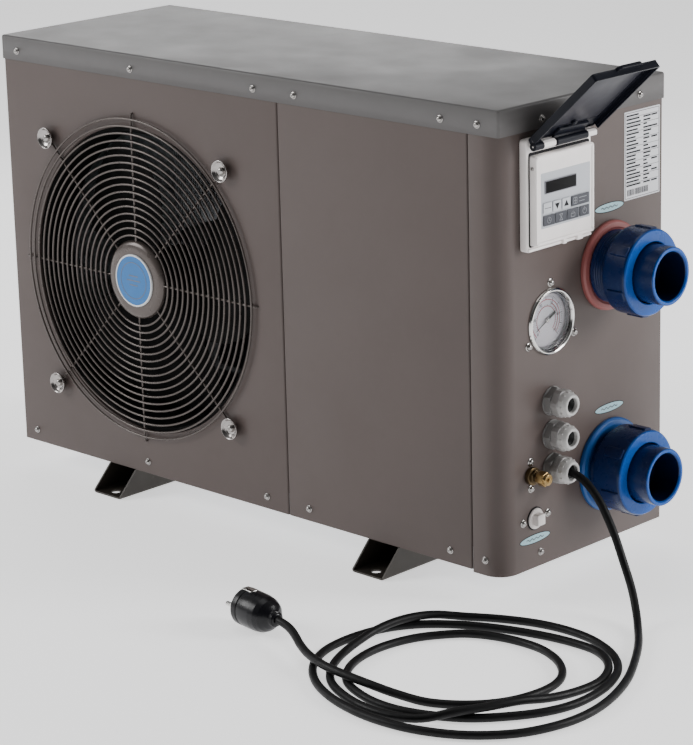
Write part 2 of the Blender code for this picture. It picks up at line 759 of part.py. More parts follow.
def needle():
    """Pointer with a short counterweight and a round boss, turned to its resting place."""
    tip = Vector((-17.8, -9.2))
    along = tip.normalized()
    across = Vector((-along.y, along.x))
    tail = -along * 13.5
    outline = [
        tip + across * 0.3, tip - across * 0.3, tail - across * 1.3, tail + across * 1.3,
    ]
    origin = (out(-5.2), GAUGE_Y, GAUGE_Z)
    pointer = prism("gauge_needle", [[tuple(point) for point in outline]], 0.8, origin, "X")
    boss = turned("gauge_boss", [(0, 1.2), (2.4, 1.2), (2.4, -1.0), (0, -1.0)], origin, "X", 12)
    keep(join(pointer, boss), NEEDLE)


# ---------------------------------------------------------------- glands, valve and drain


def gland(number, height):
    origin = (PANEL_X, GLAND_Y, height)
    turn = radians(8 + 25 * number)
    body = prism(
        f"gland_body_{number}", [polygon((0, 0), GLAND_FLATS, 6, turn)], 8.6, (out(4.7), GLAND_Y, height), "X"
    )
    stem = turned(f"gland_stem_{number}", [(0, 16), (9.8, 16), (9.8, -13), (0, -13)], origin, "X", 20)
    join(body, stem)
    if number < 3:
        bore = turned(f"gland_bore_{number}", [(0, 40), (6.4, 40), (6.4, -40), (0, -40)], origin, "X", 20)
        cut(body, bore)
    keep(body, GLAND)
    nut = prism(
        f"gland_nut_{number}", [polygon((0, 0), GLAND_FLATS, 6, turn + 0.4)], 10.4, (out(14.6), GLAND_Y, height), "X"
    )
    dome = [(0, 28), (9.4, 28), (10.4, 27), (13.2, 19), (13.2, 16), (0, 16)]
    join(nut, turned(f"gland_dome_{number}", dome, origin, "X", 24))
    bore = [(0, 40), (7.7, 40), (7.7, 22), (10.2, 20), (10.2, 0), (0, 0)]
    keep(cut(nut, turned(f"gland_nut_bore_{number}", bore, origin, "X", 24)), GLAND)


def service_valve():
    origin = (PANEL_X, VALVE_Y, VALVE_Z)
    body = [(0, 11), (5.4, 11), (5.4, 6), (9.5, 5), (9.5, 0.4), (6.0, 0.4), (6.0, -22), (0, -22)]
    keep(turned("service_valve", body, origin, "X", 20), BRASS)
    cap = prism("valve_cap", [polygon((0, 0), 13.6, 6, 0.3)], 13.2, (out(18.0), VALVE_Y, VALVE_Z), "X")
    tip = turned("valve_cap_tip", [(0, 26.4), (2.2, 26.4), (2.2, 20), (0, 20)], origin, "X", 12)
    keep(join(cap, tip), BRASS)


def drain_plug():
    origin = (PANEL_X, DRAIN_Y, DRAIN_Z)
    plug = turned("drain_plug", [(0, 2.4), (11, 2.4), (11, 0.4), (8.7, 0.4), (8.7, -16), (0, -16)], origin, "X", 24)
    half = 5.75
    head = box(
        "drain_head", (out(1.0), DRAIN_Y - half, DRAIN_Z - half), (out(9.2), DRAIN_Y + half, DRAIN_Z + half)
    )
    keep(join(plug, head), DRAIN)


# ---------------------------------------------------------------- water unions


def nut_outline():
    """The nut's grip: a circle with raised ribs."""
    outline = []
    for rib in range(NUT_RIBS):
        middle = 360 / NUT_RIBS * rib + 10
        outline += arc((0, 0), NUT_RADIUS + 1.4, middle - 4.5, middle + 4.5, 1)
        outline += arc((0, 0), NUT_RADIUS, middle + 5, middle + 360 / NUT_RIBS - 5, 4)
    return outline


def union(level, height, front, nut_length, collar_radius):
    """One water connection: wall collar, threaded body, nut and the socket tail that it holds."""
    origin = (PANEL_X, UNION_Y, height)
    collar = [(collar_radius - 2.5, 4.6), (collar_radius, 2.6), (collar_radius, 0.4), (25.3, 0.4), (25.3, 4.6)]
    look = RED if level == "upper" else COLLAR_BLUE
    keep(turned(f"union_collar_{level}", collar, origin, "X", 40, ring=True), look)

    joint = front - 15.8
    body = [
        (37.9, joint), (37.9, 6), (35.5, 5.0), (24.9, 5.0), (24.9, -32.4), (20.5, -32.4), (20.5, joint),
    ]
    keep(turned(f"union_body_{level}", body, origin, "X", 32, ring=True), BLUE)

    end = front + 23.8
    tail = [
        (TAIL_RADIUS, end), (TAIL_RADIUS, joint + 7.6), (37.8, joint + 7.6), (37.8, joint + GAP),
        (20.5, joint + GAP), (20.5, joint + 4), (SOCKET_RADIUS, joint + 6), (SOCKET_RADIUS, end),
    ]
    keep(turned(f"union_tail_{level}", tail, origin, "X", 32, ring=True), BLUE)

    middle = (out(front - nut_length / 2), UNION_Y, height)
    nut = prism(f"union_nut_{level}", [nut_outline()], nut_length, middle, "X")
    bore = [(0, front + 5), (33.6, front + 5), (33.6, joint + 8.2), (38.5, joint + 8.2), (38.5, 0), (0, 0)]
    keep(cut(nut, turned(f"union_bore_{level}", bore, origin, "X", 32)), BLUE)


# ---------------------------------------------------------------- power cord


FLOOR = CORD_RADIUS + 0.25
OVER = FLOOR + 8.9  # height of the cord where it passes over itself

CORD_ROUTE = [
    # out of the third gland and down to the floor
    (387.3, -50.5, 127.7), (393.5, -50.5, 127.5), (400, -50.5, 126.8), (408, -50.7, 124.6), (416, -51.1, 120.9),
    (424, -51.7, 115.4), (432.5, -52.6, 108), (441, -54, 99), (457, -57.5, 78), (473, -62, 52), (489, -69, 29.5),
    (506, -83, 12.2), (524, -103, FLOOR + 0.9),
    # first turn, from the right side round the front to the left side
    (545, -129, FLOOR), (570, -166, FLOOR), (594, -208, FLOOR), (611, -253, FLOOR), (618, -295, FLOOR),
    (614, -333, FLOOR), (598, -371, FLOOR), (567, -403, FLOOR), (527, -423, FLOOR), (485, -430.5, FLOOR),
    (444, -428, FLOOR), (404, -417, FLOOR), (369, -398, FLOOR), (341, -370, FLOOR), (325, -335, FLOOR),
    (322.5, -295, FLOOR), (331, -258, FLOOR), (351, -227, FLOOR), (382, -203, FLOOR), (418, -186, FLOOR),
    # second turn
    (458, -174, FLOOR), (493, -169, FLOOR), (524, -170.5, FLOOR), (549, -183, FLOOR), (567.5, -204, FLOOR),
    (578, -232, FLOOR), (577, -264, FLOOR + 0.5), (572, -297, FLOOR + 3.5), (564, -328, OVER - 0.3), (552, -358, OVER + 0.2),
    (536, -385, OVER - 0.6), (513, -405, FLOOR + 2), (485, -415, FLOOR), (452, -416.5, FLOOR), (418, -408.5, FLOOR),
    (388, -394, FLOOR), (365, -371.5, FLOOR), (349, -343, FLOOR + 0.5), (341, -310, FLOOR + 3.5),
    (339, -277, OVER - 1.5), (343, -245, OVER), (353, -214, OVER - 2), (373, -186, FLOOR + 1.5), (400, -166, FLOOR),
    # third turn
    (436, -152, FLOOR), (473, -147, FLOOR), (510, -152, FLOOR), (546, -169, FLOOR), (571.5, -193.5, FLOOR),
    (587, -224.5, FLOOR), (594, -256, FLOOR), (594, -289, FLOOR), (584, -320, FLOOR), (565, -349, FLOOR),
    (541, -374, FLOOR), (510, -391.5, FLOOR), (479, -401, FLOOR), (450, -401.5, FLOOR), (420, -394, FLOOR),
    (395, -381, FLOOR), (375, -357, FLOOR), (364, -327, FLOOR), (362, -294, FLOOR), (370, -260, FLOOR),
    (386, -234, FLOOR), (404, -216, FLOOR),
    # inner turn, and over the other turns to the plug
    (432, -204, FLOOR), (462, -200, FLOOR), (489, -203, FLOOR), (517, -216, FLOOR), (540, -238, FLOOR),
    (551, -264, FLOOR), (551, -294, FLOOR), (541, -325, FLOOR), (520, -351, FLOOR), (489, -370, FLOOR),
    (458, -379.5, FLOOR + 3), (430, -385.5, OVER - 2), (399, -387, OVER), (367, -383, OVER), (338, -373.5, OVER + 0.2), (316, -362.6, 14.5),
    (300.5, -353.4, 16.3), (288, -346.9, 18.0), (275.7, -342.4, 19.2), (262.9, -339.6, 19.8),
]


def power_cord():
    route = smooth_route(CORD_ROUTE, CORD_POINT_SPACING, fine_ends=110.0)
    keep(tube("power_cord", route, CORD_RADIUS, 2), RUBBER)


def mains_plug():
    """A round earthed plug lying on the floor, with its pins pointing away from the cord."""
    pivot = bpy.data.objects.new("plug_axis", None)
    PARTS.objects.link(pivot)
    pivot.location = (PLUG_REAR * MM, PLUG_Y * MM, (PLUG_RADIUS + 0.3) * MM)
    pivot.rotation_euler = (0, 0, -radians(PLUG_TURN))
    profile = [(0, 0), (7, 0), (7.5, -10), (16, -17), (PLUG_RADIUS, -26), (PLUG_RADIUS, -54), (0, -54)]
    plug = turned("mains_plug", profile, (0, 0, 0), "X", 28)
    for number, side in enumerate((-9.5, 9.5)):
        pin = turned(
            f"plug_pin_{number}", [(0, -50), (2.4, -50), (2.4, -72), (1.6, -73), (0, -73)],
            (0, side, 0), "X", 10,
        )
        join(plug, pin)
        pin.parent = pivot
    plug.parent = pivot
    keep(plug, BLACK)


# ---------------------------------------------------------------- the whole unit


def build():
    base_tray()
    for side, centre in RAIL_CENTRES.items():
        foot_rail(side, centre)
    fan_panel()
    service_panel()
    side_panel()
    rear_panel()
    rear_guard()
    left_panel()
    top_cover()
    partition_plate()
    fan_grille()
    hub_plate_and_badge()
    fan_shroud()
    fan_rotor()
    fan_motor()
    motor_bracket()
    evaporator_coil()
    compressor()
    accumulator()
    heat_exchanger()
    reversing_valve()
    refrigerant_pipes()
    electric_box()
    controller_housing()
    controller_faceplate()
    display_and_keys()
    flip_cover()
    gauge()
    for number, height in enumerate(GLAND_HEIGHTS, start=1):
        gland(number, height)
    service_valve()
    drain_plug()
    for level, (height, front, nut_length, collar_radius) in UNIONS.items():
        union(level, height, front, nut_length, collar_radius)
    power_cord()
    mains_plug()


def centre_unit():
    """Moves everything along X, so that the origin is under the middle of the unit without its cord."""
    for obj in list(PARTS.objects) + list(CUTTERS.objects):
        if obj.parent is None:
            obj.location.x -= ORIGIN_X * MM


build()
centre_unit()
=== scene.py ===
import random
from math import atan2, cos, hypot, pi, radians, sin, sqrt, tan

import bmesh
import bpy
from mathutils import Matrix, Vector


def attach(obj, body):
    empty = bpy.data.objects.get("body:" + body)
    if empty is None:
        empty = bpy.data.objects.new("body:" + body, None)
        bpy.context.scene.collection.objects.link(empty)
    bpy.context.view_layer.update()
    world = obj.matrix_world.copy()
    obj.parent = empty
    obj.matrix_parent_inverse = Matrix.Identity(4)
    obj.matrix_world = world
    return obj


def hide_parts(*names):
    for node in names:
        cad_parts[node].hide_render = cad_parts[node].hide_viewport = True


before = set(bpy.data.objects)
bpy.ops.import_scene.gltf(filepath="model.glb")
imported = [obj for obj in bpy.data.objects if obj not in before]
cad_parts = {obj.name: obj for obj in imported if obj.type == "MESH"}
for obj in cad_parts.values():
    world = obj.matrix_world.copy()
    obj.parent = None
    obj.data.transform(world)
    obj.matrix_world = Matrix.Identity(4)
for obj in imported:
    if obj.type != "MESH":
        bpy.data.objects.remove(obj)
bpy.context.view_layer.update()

# Lengths are in mm in the casing's axes: x and y from its middle, z from the floor. P() gives the frame's metres.
OX = 48.85  # the casing's middle lies this far to the left of the frame's origin
SIDE = 370.9  # outer face of the right-hand panel
FRONT = -128.25  # outer face of the front panels
REAR = 128.25  # outer face of the rear panels


def P(x, y, z):
    return Vector(((x - OX) / 1000, y / 1000, z / 1000))


def linked(obj):
    bpy.context.scene.collection.objects.link(obj)
    return obj


# ---- camera


def make_camera():
    data = bpy.data.cameras.new("camera")
    camera = linked(bpy.data.objects.new("camera", data))
    data.lens = 140.10
    data.sensor_width = 36.0
    data.clip_end = 50
    turn = Matrix.Rotation(0.7727, 4, "Z") @ Matrix.Rotation(1.287, 4, "X") @ Matrix.Rotation(-0.0255, 4, "Z")
    camera.matrix_world = Matrix.Translation((2.1769 - OX / 1000, -2.1983, 1.0495)) @ turn
    bpy.context.scene.camera = camera


make_camera()


# ---- materials

MIX_FACTOR, MIX_UNDER, MIX_OVER, MIX_RESULT = 0, 6, 7, 2  # a Mix node's colour sockets


class Nodes:
    """The node tree of a material or a world."""

    def __init__(self, owner):
        owner.use_nodes = True
        self.tree = owner.node_tree

    def node(self, kind, **inputs):
        made = self.tree.nodes.new(kind)
        for key, value in inputs.items():
            made.inputs[key.replace("_", " ")].default_value = value
        return made

    def link(self, source, target):
        self.tree.links.new(source, target)

    def ramp(self, source, low, high, start=0.0, end=1.0):
        made = self.node("ShaderNodeMapRange", From_Min=low, From_Max=high, To_Min=start, To_Max=end)
        self.link(source, made.inputs["Value"])
        return made.outputs["Result"]


class Look(Nodes):
    """A procedural material: base colour with mottling, roughness variation and a fine bump."""

    def __init__(self, name, color, rough, metallic=0.0, **sockets):
        self.mat = bpy.data.materials.new(name)
        super().__init__(self.mat)
        self.shader = self.tree.nodes["Principled BSDF"]
        self.color = color
        self.place = self.node("ShaderNodeTexCoord").outputs["Object"]
        self.normal = None
        self.set(Base_Color=(*color, 1.0), Roughness=rough, Metallic=metallic, **sockets)

    def set(self, **sockets):
        for key, value in sockets.items():
            self.shader.inputs[key.replace("_", " ")].default_value = value

    def texture(self, kind, output, **inputs):
        made = self.node(f"ShaderNodeTex{kind}", **inputs)
        self.link(self.place, made.inputs["Vector"])
        return made.outputs[output]

    def noise(self, scale, detail):
        return self.texture("Noise", "Fac", Scale=scale, Detail=detail, Roughness=0.55)

    def blend(self, factor, color):
        """Mixes another colour into the base colour by a factor socket."""
        made = self.tree.nodes.new("ShaderNodeMix")
        made.data_type = "RGBA"
        base = self.shader.inputs["Base Color"]
        made.inputs[MIX_UNDER].default_value = (*self.color, 1.0)
        made.inputs[MIX_OVER].default_value = (*color, 1.0)
        if base.links:
            self.link(base.links[0].from_socket, made.inputs[MIX_UNDER])
        self.link(factor, made.inputs[MIX_FACTOR])
        self.link(made.outputs[MIX_RESULT], base)
        return self

    def mottle(self, scale, amount, detail=4.0):
        """Lighter and darker patches of the same colour."""
        source = self.noise(scale, detail)
        self.blend(self.ramp(source, 0.5, 0.8), [min(1.0, c * (1 + amount)) for c in self.color])
        return self.blend(self.ramp(source, 0.5, 0.2), [c * (1 - amount) for c in self.color])

    def rough(self, scale, low, high, detail=3.0):
        source = self.ramp(self.noise(scale, detail), 0.3, 0.7, low, high)
        self.link(source, self.shader.inputs["Roughness"])
        return self

    def bump(self, scale, strength, depth):
        made = self.node("ShaderNodeBump", Strength=strength, Distance=depth)
        self.link(self.noise(scale, 2.0), made.inputs["Height"])
        if self.normal:
            self.link(self.normal, made.inputs["Normal"])
        self.normal = made.outputs["Normal"]
        self.link(self.normal, self.shader.inputs["Normal"])
        return self

    def specks(self, scale, low, high, color):
        """Small marks of another colour where a noise is high."""
        return self.blend(self.ramp(self.noise(scale, 2.0), low, high), color)


def casing_look(name, color):
    look = Look(name, color, 0.42, Specular_IOR_Level=0.3)
    look.mottle(9, 0.05, 5).mottle(70, 0.025, 3).rough(14, 0.38, 0.48, 5)
    look.specks(900, 0.7, 0.8, [1.5 * c for c in color])
    return look.bump(1500, 0.16, 0.0001).bump(25, 0.06, 0.0015).mat


def galvanised_look():
    look = Look("galvanised", (0.5, 0.51, 0.52), 0.42, 0.9)
    spangle = look.ramp(look.texture("Voronoi", "Distance", Scale=90), 0.1, 0.6, 0.0, 0.7)
    return look.blend(spangle, (0.36, 0.37, 0.39)).rough(60, 0.32, 0.52).bump(400, 0.1, 0.0002).mat


def plastic(name, color, rough, grain=0.12, mottle=0.04, **sockets):
    look = Look(name, color, rough, **sockets)
    return look.mottle(45, mottle).rough(60, rough * 0.82, rough * 1.2).bump(1800, grain, 0.00008).mat


def metal(name, color, rough, wear=0.06):
    look = Look(name, color, rough, 1.0)
    return look.mottle(60, wear).rough(120, rough * 0.7, rough * 1.5, 4).bump(500, 0.05, 0.0001).mat


def union_look_lit_ends():
    """Moulded navy-blue plastic: its end faces, which point along +x towards the right-hand lamp, are painted bright
    blue as painted light, and its turned sides stay nearly navy.
    """
    look = Look("union_plastic", (0.001, 0.014, 0.075), 0.28, Specular_IOR_Level=0.3)
    look.mottle(50, 0.05)
    # painted light: faces whose normal points along +x are blended towards bright blue, as if lit by the right-hand
    # lamp
    axes = look.node("ShaderNodeSeparateXYZ")
    look.link(look.node("ShaderNodeNewGeometry").outputs["Normal"], axes.inputs["Vector"])
    look.blend(look.ramp(axes.outputs["X"], 0.35, 0.85), (0.0, 0.075, 0.36)).specks(260, 0.74, 0.82, (0.01, 0.06, 0.18))
    return look.rough(80, 0.24, 0.32).bump(700, 0.05, 0.0001).mat


def smoked_look(name, color):
    look = Look(name, color, 0.34, Specular_IOR_Level=0.14)
    look.mottle(25, 0.12).rough(35, 0.3, 0.4)
    return look.specks(900, 0.74, 0.8, [c + 0.01 for c in color]).bump(60, 0.03, 0.0003).mat


def fins_look():
    look = Look("fins", (0.55, 0.57, 0.58), 0.38, 1.0)
    # dark stripes across the fins: painted shade in the gaps between them
    gap_shade = look.ramp(look.texture("Wave", "Fac", Scale=90, Distortion=0.15), 0.35, 0.7, 0.0, 0.9)
    return look.blend(gap_shade, (0.05, 0.055, 0.06)).mottle(20, 0.1).rough(60, 0.3, 0.5).bump(300, 0.1, 0.0003).mat


CASING = casing_look("casing_paint", (0.094, 0.072, 0.066))
# the lid's copy of the casing paint, made greyer and lighter as a painted reflection of the bright room above
LID_PAINT_WITH_SHEEN = casing_look("lid_paint_sheen", (0.105, 0.1, 0.099))
GRILLE = Look("grille_paint", (0.09, 0.074, 0.067), 0.28, 0.4)
GRILLE = GRILLE.mottle(30, 0.06).rough(40, 0.22, 0.36).bump(1200, 0.15, 0.0001).mat
RAIL = Look("rail_paint", (0.04, 0.034, 0.028), 0.42, 0.25).mottle(30, 0.3).rough(25, 0.34, 0.55, 5)
RAIL = RAIL.specks(140, 0.68, 0.76, (0.075, 0.065, 0.055)).bump(900, 0.2, 0.0002).mat
GALVANISED = galvanised_look()
FAN_BLACK = plastic("fan_plastic", (0.002, 0.002, 0.002), 0.7, 0.2, Specular_IOR_Level=0.1)
WHITE = plastic("white_plastic", (0.96, 0.91, 0.89), 0.34)
STICKER = plastic("keypad_film", (0.5, 0.52, 0.56), 0.4, 0.06)
KEY_PALE = plastic("key_pale", (0.55, 0.57, 0.6), 0.4, 0.06)
KEY_GREY = plastic("key_grey", (0.062, 0.065, 0.078), 0.42, 0.06, Specular_IOR_Level=0.3)
INK_PALE = plastic("ink_pale", (0.3, 0.31, 0.34), 0.5, 0.05)
# dark ink for print, also used as painted shade in the gap around the controller's faceplate
INK_AND_SHADE_DARK = plastic("ink_and_shade_dark", (0.008, 0.008, 0.01), 0.6, 0.05, Specular_IOR_Level=0.2)
INK_GREY = plastic("ink_grey", (0.16, 0.16, 0.18), 0.55, 0.05)
INK_PINK = plastic("ink_pink", (0.42, 0.05, 0.08), 0.5, 0.05)
DISPLAY = plastic("display_glass", (0.001, 0.001, 0.0015), 0.35, 0.02, Specular_IOR_Level=0.08)
SMOKED = smoked_look("smoked_cover", (0.006, 0.007, 0.012))
SMOKED_PANE = smoked_look("smoked_pane", (0.026, 0.026, 0.034))
UNION_LIT_ENDS = union_look_lit_ends()
UNION_DARK = plastic("union_rib", (0.001, 0.013, 0.07), 0.3, 0.05, 0.1, Specular_IOR_Level=0.3)
# dark navy lining for the sockets' bores: painted shade inside the deep bore
UNION_BORE_SHADE = plastic("union_bore_shade", (0.001, 0.005, 0.028), 0.4, 0.1, 0.1, Specular_IOR_Level=0.3)
RED = plastic("collar_red", (0.26, 0.075, 0.07), 0.5, 0.25, 0.12)
COLLAR_BLUE = plastic("collar_blue", (0.003, 0.07, 0.27), 0.4, 0.2, 0.1)
CHROME = metal("chrome", (0.66, 0.65, 0.63), 0.12)
CUP_STEEL = metal("cup_steel", (0.36, 0.34, 0.33), 0.2)
SCREW = metal("screw_steel", (0.4, 0.385, 0.37), 0.24, 0.12)
BRASS = metal("brass", (0.36, 0.24, 0.1), 0.28, 0.18)
BRASS_DARK = metal("brass_dark", (0.12, 0.085, 0.045), 0.36, 0.2)
COPPER = metal("copper_tube", (0.72, 0.33, 0.19), 0.3, 0.12)
DIAL = Look("dial_card", (0.62, 0.6, 0.65), 0.5)
DIAL = DIAL.mottle(90, 0.03).rough(50, 0.42, 0.58).bump(1500, 0.06, 0.0001).mat
GLASS = Look("lens_glass", (1.0, 1.0, 1.0), 0.02, Transmission_Weight=1.0, IOR=1.2)
GLASS = GLASS.bump(20, 0.01, 0.0002).mat
GLAND = plastic("gland_nylon", (0.2, 0.195, 0.19), 0.34, 0.2, 0.06)
GLAND_MID = plastic("gland_grip", (0.3, 0.29, 0.285), 0.3, 0.2, 0.06)
GLAND_PALE = plastic("gland_nose", (0.5, 0.49, 0.48), 0.32, 0.15, 0.05)
DRAIN = plastic("drain_plastic", (0.72, 0.67, 0.65), 0.42, 0.25, 0.06)
BADGE = plastic("badge_blue", (0.03, 0.17, 0.45), 0.35, 0.05, Specular_IOR_Level=0.3)
BADGE_RIM = plastic("badge_rim", (0.75, 0.78, 0.8), 0.3, 0.05)
OVAL = plastic("oval_label", (0.34, 0.54, 0.6), 0.35, 0.05)
PAPER = plastic("rating_label", (0.66, 0.66, 0.69), 0.45, 0.06, 0.02)
TANK = plastic("tank_shell", (0.06, 0.07, 0.08), 0.5, 0.3, 0.1)
ENAMEL = plastic("black_enamel", (0.015, 0.015, 0.016), 0.3, 0.15, 0.2)
FINS = fins_look()
RUBBER = plastic("cord_rubber", (0.004, 0.004, 0.0045), 0.48, 0.3, 0.1, Specular_IOR_Level=0.22)
PLUG = plastic("plug_rubber", (0.004, 0.004, 0.006), 0.3, 0.3, 0.1, Specular_IOR_Level=0.3)
# black for the rubber seals, also used as painted shade in the empty gland bores
SEAL_BLACK_AND_SHADE = plastic("deep_black", (0.003, 0.003, 0.003), 0.6)


# ---- shape helpers

TINY = 1e-9
X, Y, Z = Vector((1, 0, 0)), Vector((0, 1, 0)), Vector((0, 0, 1))
AXES = {"X": (Y, Z, X), "Y": (Z, X, Y), "-Y": (X, Z, -Y), "-X": (-Y, Z, -X), "Z": (X, Y, Z)}  # across, up, along


def place(obj, look, *nodes, body="unit", slot=None, smooth=35):
    """Makes an object a piece that rides on a body and stands for the named CAD nodes."""
    if obj.name not in bpy.context.scene.collection.objects:
        linked(obj)
    obj.data.materials.clear()
    obj.data.materials.append(look)
    if obj.type == "MESH":
        obj.data.shade_smooth()
        obj.data.set_sharp_from_angle(angle=radians(smooth))
    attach(obj, body)
    if nodes:
        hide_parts(*nodes)
    return obj


def fillet(points, radius, closed=True, steps=4):
    """Rounds the corners of a 2D outline."""
    result = []
    count = len(points)
    for i, point in enumerate(points):
        here = Vector(point)
        before = Vector(points[i - 1]) - here
        after = Vector(points[(i + 1) % count]) - here
        if (not closed and i in (0, count - 1)) or radius <= 0:
            result.append(tuple(point))
            continue
        if before.length < TINY or after.length < TINY:
            continue
        angle = before.angle(after)
        if angle > radians(178):
            result.append(tuple(point))
            continue
        trim = min(radius / tan(angle / 2), before.length * 0.48, after.length * 0.48)
        start = here + before.normalized() * trim
        end = here + after.normalized() * trim
        for step in range(steps + 1):
            t = step / steps
            result.append(tuple(start * (1 - t) ** 2 + here * 2 * t * (1 - t) + end * t**2))
    return result


def inset_outline(outline, amount):
    if not amount:
        return outline
    area = sum(a[0] * b[1] - b[0] * a[1] for a, b in zip(outline, outline[1:] + outline[:1]))
    turn = 1 if area > 0 else -1
    result = []
    for i, point in enumerate(outline):
        a, b = outline[i - 1], outline[(i + 1) % len(outline)]
        e1 = (point[0] - a[0], point[1] - a[1])
        e2 = (b[0] - point[0], b[1] - point[1])
        l1, l2 = hypot(*e1) or 1, hypot(*e2) or 1
        n = (-(e1[1] / l1 + e2[1] / l2) * turn, (e1[0] / l1 + e2[0] / l2) * turn)
        size = hypot(*n) or 1
        dot = max(0.5, (n[0] * -e1[1] * turn + n[1] * e1[0] * turn) / l1 / size)
        result.append((point[0] + n[0] / size * amount / dot, point[1] + n[1] / size * amount / dot))
    return result


def polar(radius, angle):
    return radius * cos(angle), radius * sin(angle)


def rect(low, high, radius=0.0, steps=4):
    points = [(low[0], low[1]), (high[0], low[1]), (high[0], high[1]), (low[0], high[1])]
    return fillet(points, radius, steps=steps)


def ellipse(centre, a, b, steps=64, start=0.0):
    angles = [start + 2 * pi * i / steps for i in range(steps)]
    return [(centre[0] + a * cos(t), centre[1] + b * sin(t)) for t in angles]


def circle(centre, radius, steps=64):
    return ellipse(centre, radius, radius, steps)


def hexagon(across_flats, turn, radius):
    corner = across_flats / 2 / cos(pi / 6)
    return fillet(ellipse((0, 0), corner, corner, 6, turn), radius)


def arc(centre, radius, start, end, steps):
    angles = [radians(start + (end - start) * i / steps) for i in range(steps + 1)]
    return [(centre[0] + u, centre[1] + v) for u, v in (polar(radius, a) for a in angles)]


def ribbon(path, thickness):
    """Outline of a folded sheet: the path and back along it one thickness to its left."""
    inner = []
    for i, point in enumerate(path):
        normals = []
        for s, e in ((path[max(i - 1, 0)], point), (point, path[min(i + 1, len(path) - 1)])):
            length = hypot(e[0] - s[0], e[1] - s[1])
            if length > TINY:
                normals.append(Vector((-(e[1] - s[1]) / length, (e[0] - s[0]) / length)))
        middle = (normals[0] + normals[-1]).normalized()
        inner.append(tuple(Vector(point) + middle * (thickness / middle.dot(normals[0]))))
    return list(path) + inner[::-1]


def radial(angle):
    """Axes whose last one points away from the x axis at an angle."""
    return Vector((0, -sin(angle), cos(angle))), X, Vector((0, cos(angle), sin(angle)))


class Shape:
    """A mesh made in mm about an origin (a frame point) and an axis, then handed over as one piece."""

    def __init__(self, origin, axis="X"):
        self.bm = bmesh.new()
        self.at(origin, axis)

    def at(self, origin, axis="X"):
        """Moves the origin and the axis for what is added next."""
        self.origin = origin
        self.axes = AXES[axis] if isinstance(axis, str) else axis
        return self

    def strip(self, lower, upper):
        """Faces between two rings of vertices, of which either may be one point."""
        count = max(len(lower), len(upper))
        for i in range(count):
            j = (i + 1) % count
            corners = (lower[i % len(lower)], lower[j % len(lower)], upper[j % len(upper)], upper[i % len(upper)])
            corners = list(dict.fromkeys(corners))
            if len(corners) > 2:
                self.bm.faces.new(corners)

    def loop(self, outline, height):
        across, up, along = self.axes
        new = self.bm.verts.new
        return [new(self.origin + (across * u + up * v + along * height) / 1000) for u, v in outline]

    def turn(self, profile, steps=72, closed=False, edge=0.0):
        """Turns (radius, along) points about the axis, with their corners rounded by edge."""
        across, up, along = self.axes
        rings = []
        for radius, height in fillet(profile, edge, closed):
            centre = self.origin + along * (height / 1000)
            if radius < 1e-6:
                rings.append([self.bm.verts.new(centre)])
                continue
            spokes = [across * cos(2 * pi * i / steps) + up * sin(2 * pi * i / steps) for i in range(steps)]
            rings.append([self.bm.verts.new(centre + spoke * (radius / 1000)) for spoke in spokes])
        for low, high in zip(rings, rings[1:] + rings[:1] * closed):
            self.strip(low, high)
        return self

    def slab(self, outline, low, high, edge=0.0):
        """Extrudes an outline along the axis from low to high, with rounded top and bottom edges."""
        layers = [(0.0, low), (0.0, high)]
        if edge:
            angles = [pi / 2 * step / 3 for step in range(4)]
            layers = [(edge * (1 - sin(a)), low + edge * (1 - cos(a))) for a in angles]
            layers += [(inset, high + low - height) for inset, height in layers[::-1]]
        loops = [self.loop(inset_outline(outline, inset), height) for inset, height in layers]
        for lower, upper in zip(loops, loops[1:]):
            self.strip(lower, upper)
        self.bm.faces.new(loops[0][::-1])
        self.bm.faces.new(loops[-1])
        return self

    def band(self, outer, inner, low, high):
        """A flat frame between two outlines with the same number of points."""
        corners = ((outer, low), (outer, high), (inner, high), (inner, low))
        loops = [self.loop(outline, height) for outline, height in corners]
        for first, second in zip(loops, loops[1:] + loops[:1]):
            self.strip(first, second)
        return self

    def stroke(self, points, width, low, high):
        """Straight strokes from point to point."""
        for a, b in zip(points, points[1:]):
            du, dv = b[0] - a[0], b[1] - a[1]
            size = hypot(du, dv) or 1
            u, v = du / size * width / 2, dv / size * width / 2
            self.slab([(a[0] + v - u, a[1] - u - v), (b[0] + v + u, b[1] - u + v),
                       (b[0] - v + u, b[1] + u + v), (a[0] - v - u, a[1] + u - v)], low, high)
        return self

    def made(self, name):
        bmesh.ops.recalc_face_normals(self.bm, faces=self.bm.faces)
        mesh = bpy.data.meshes.new(name)
        self.bm.to_mesh(mesh)
        self.bm.free()
        return bpy.data.objects.new(name, mesh)

    def piece(self, name, look, *nodes, **kind):
        return place(self.made(name), look, *nodes, **kind)


def wires(name, paths, radius, cyclic=False, resolution=3):
    """Round wires along lists of frame points."""
    data = bpy.data.curves.new(name, "CURVE")
    data.dimensions = "3D"
    data.bevel_depth = radius / 1000
    data.bevel_resolution = resolution
    data.use_fill_caps = True
    for path in paths:
        spline = data.splines.new("POLY")
        spline.points.add(len(path) - 1)
        for point, spot in zip(spline.points, path):
            point.co = (*spot, 1)
        spline.use_cyclic_u = cyclic
        spline.use_smooth = True
    return bpy.data.objects.new(name, data)


def cut(obj, tools, use_self=False):
    """Cuts the tools out of an object, and takes all of them out of the scene again."""
    for tool in tools:
        modifier = obj.modifiers.new("cut", "BOOLEAN")
        modifier.object = linked(tool)
        modifier.use_self = use_self
    linked(obj)
    bpy.context.view_layer.update()
    mesh = bpy.data.meshes.new_from_object(obj.evaluated_get(bpy.context.evaluated_depsgraph_get()))
    obj.modifiers.clear()
    obj.data = mesh
    for tool in tools:
        bpy.data.objects.remove(tool, do_unlink=True)
    bpy.context.scene.collection.objects.unlink(obj)
    return obj


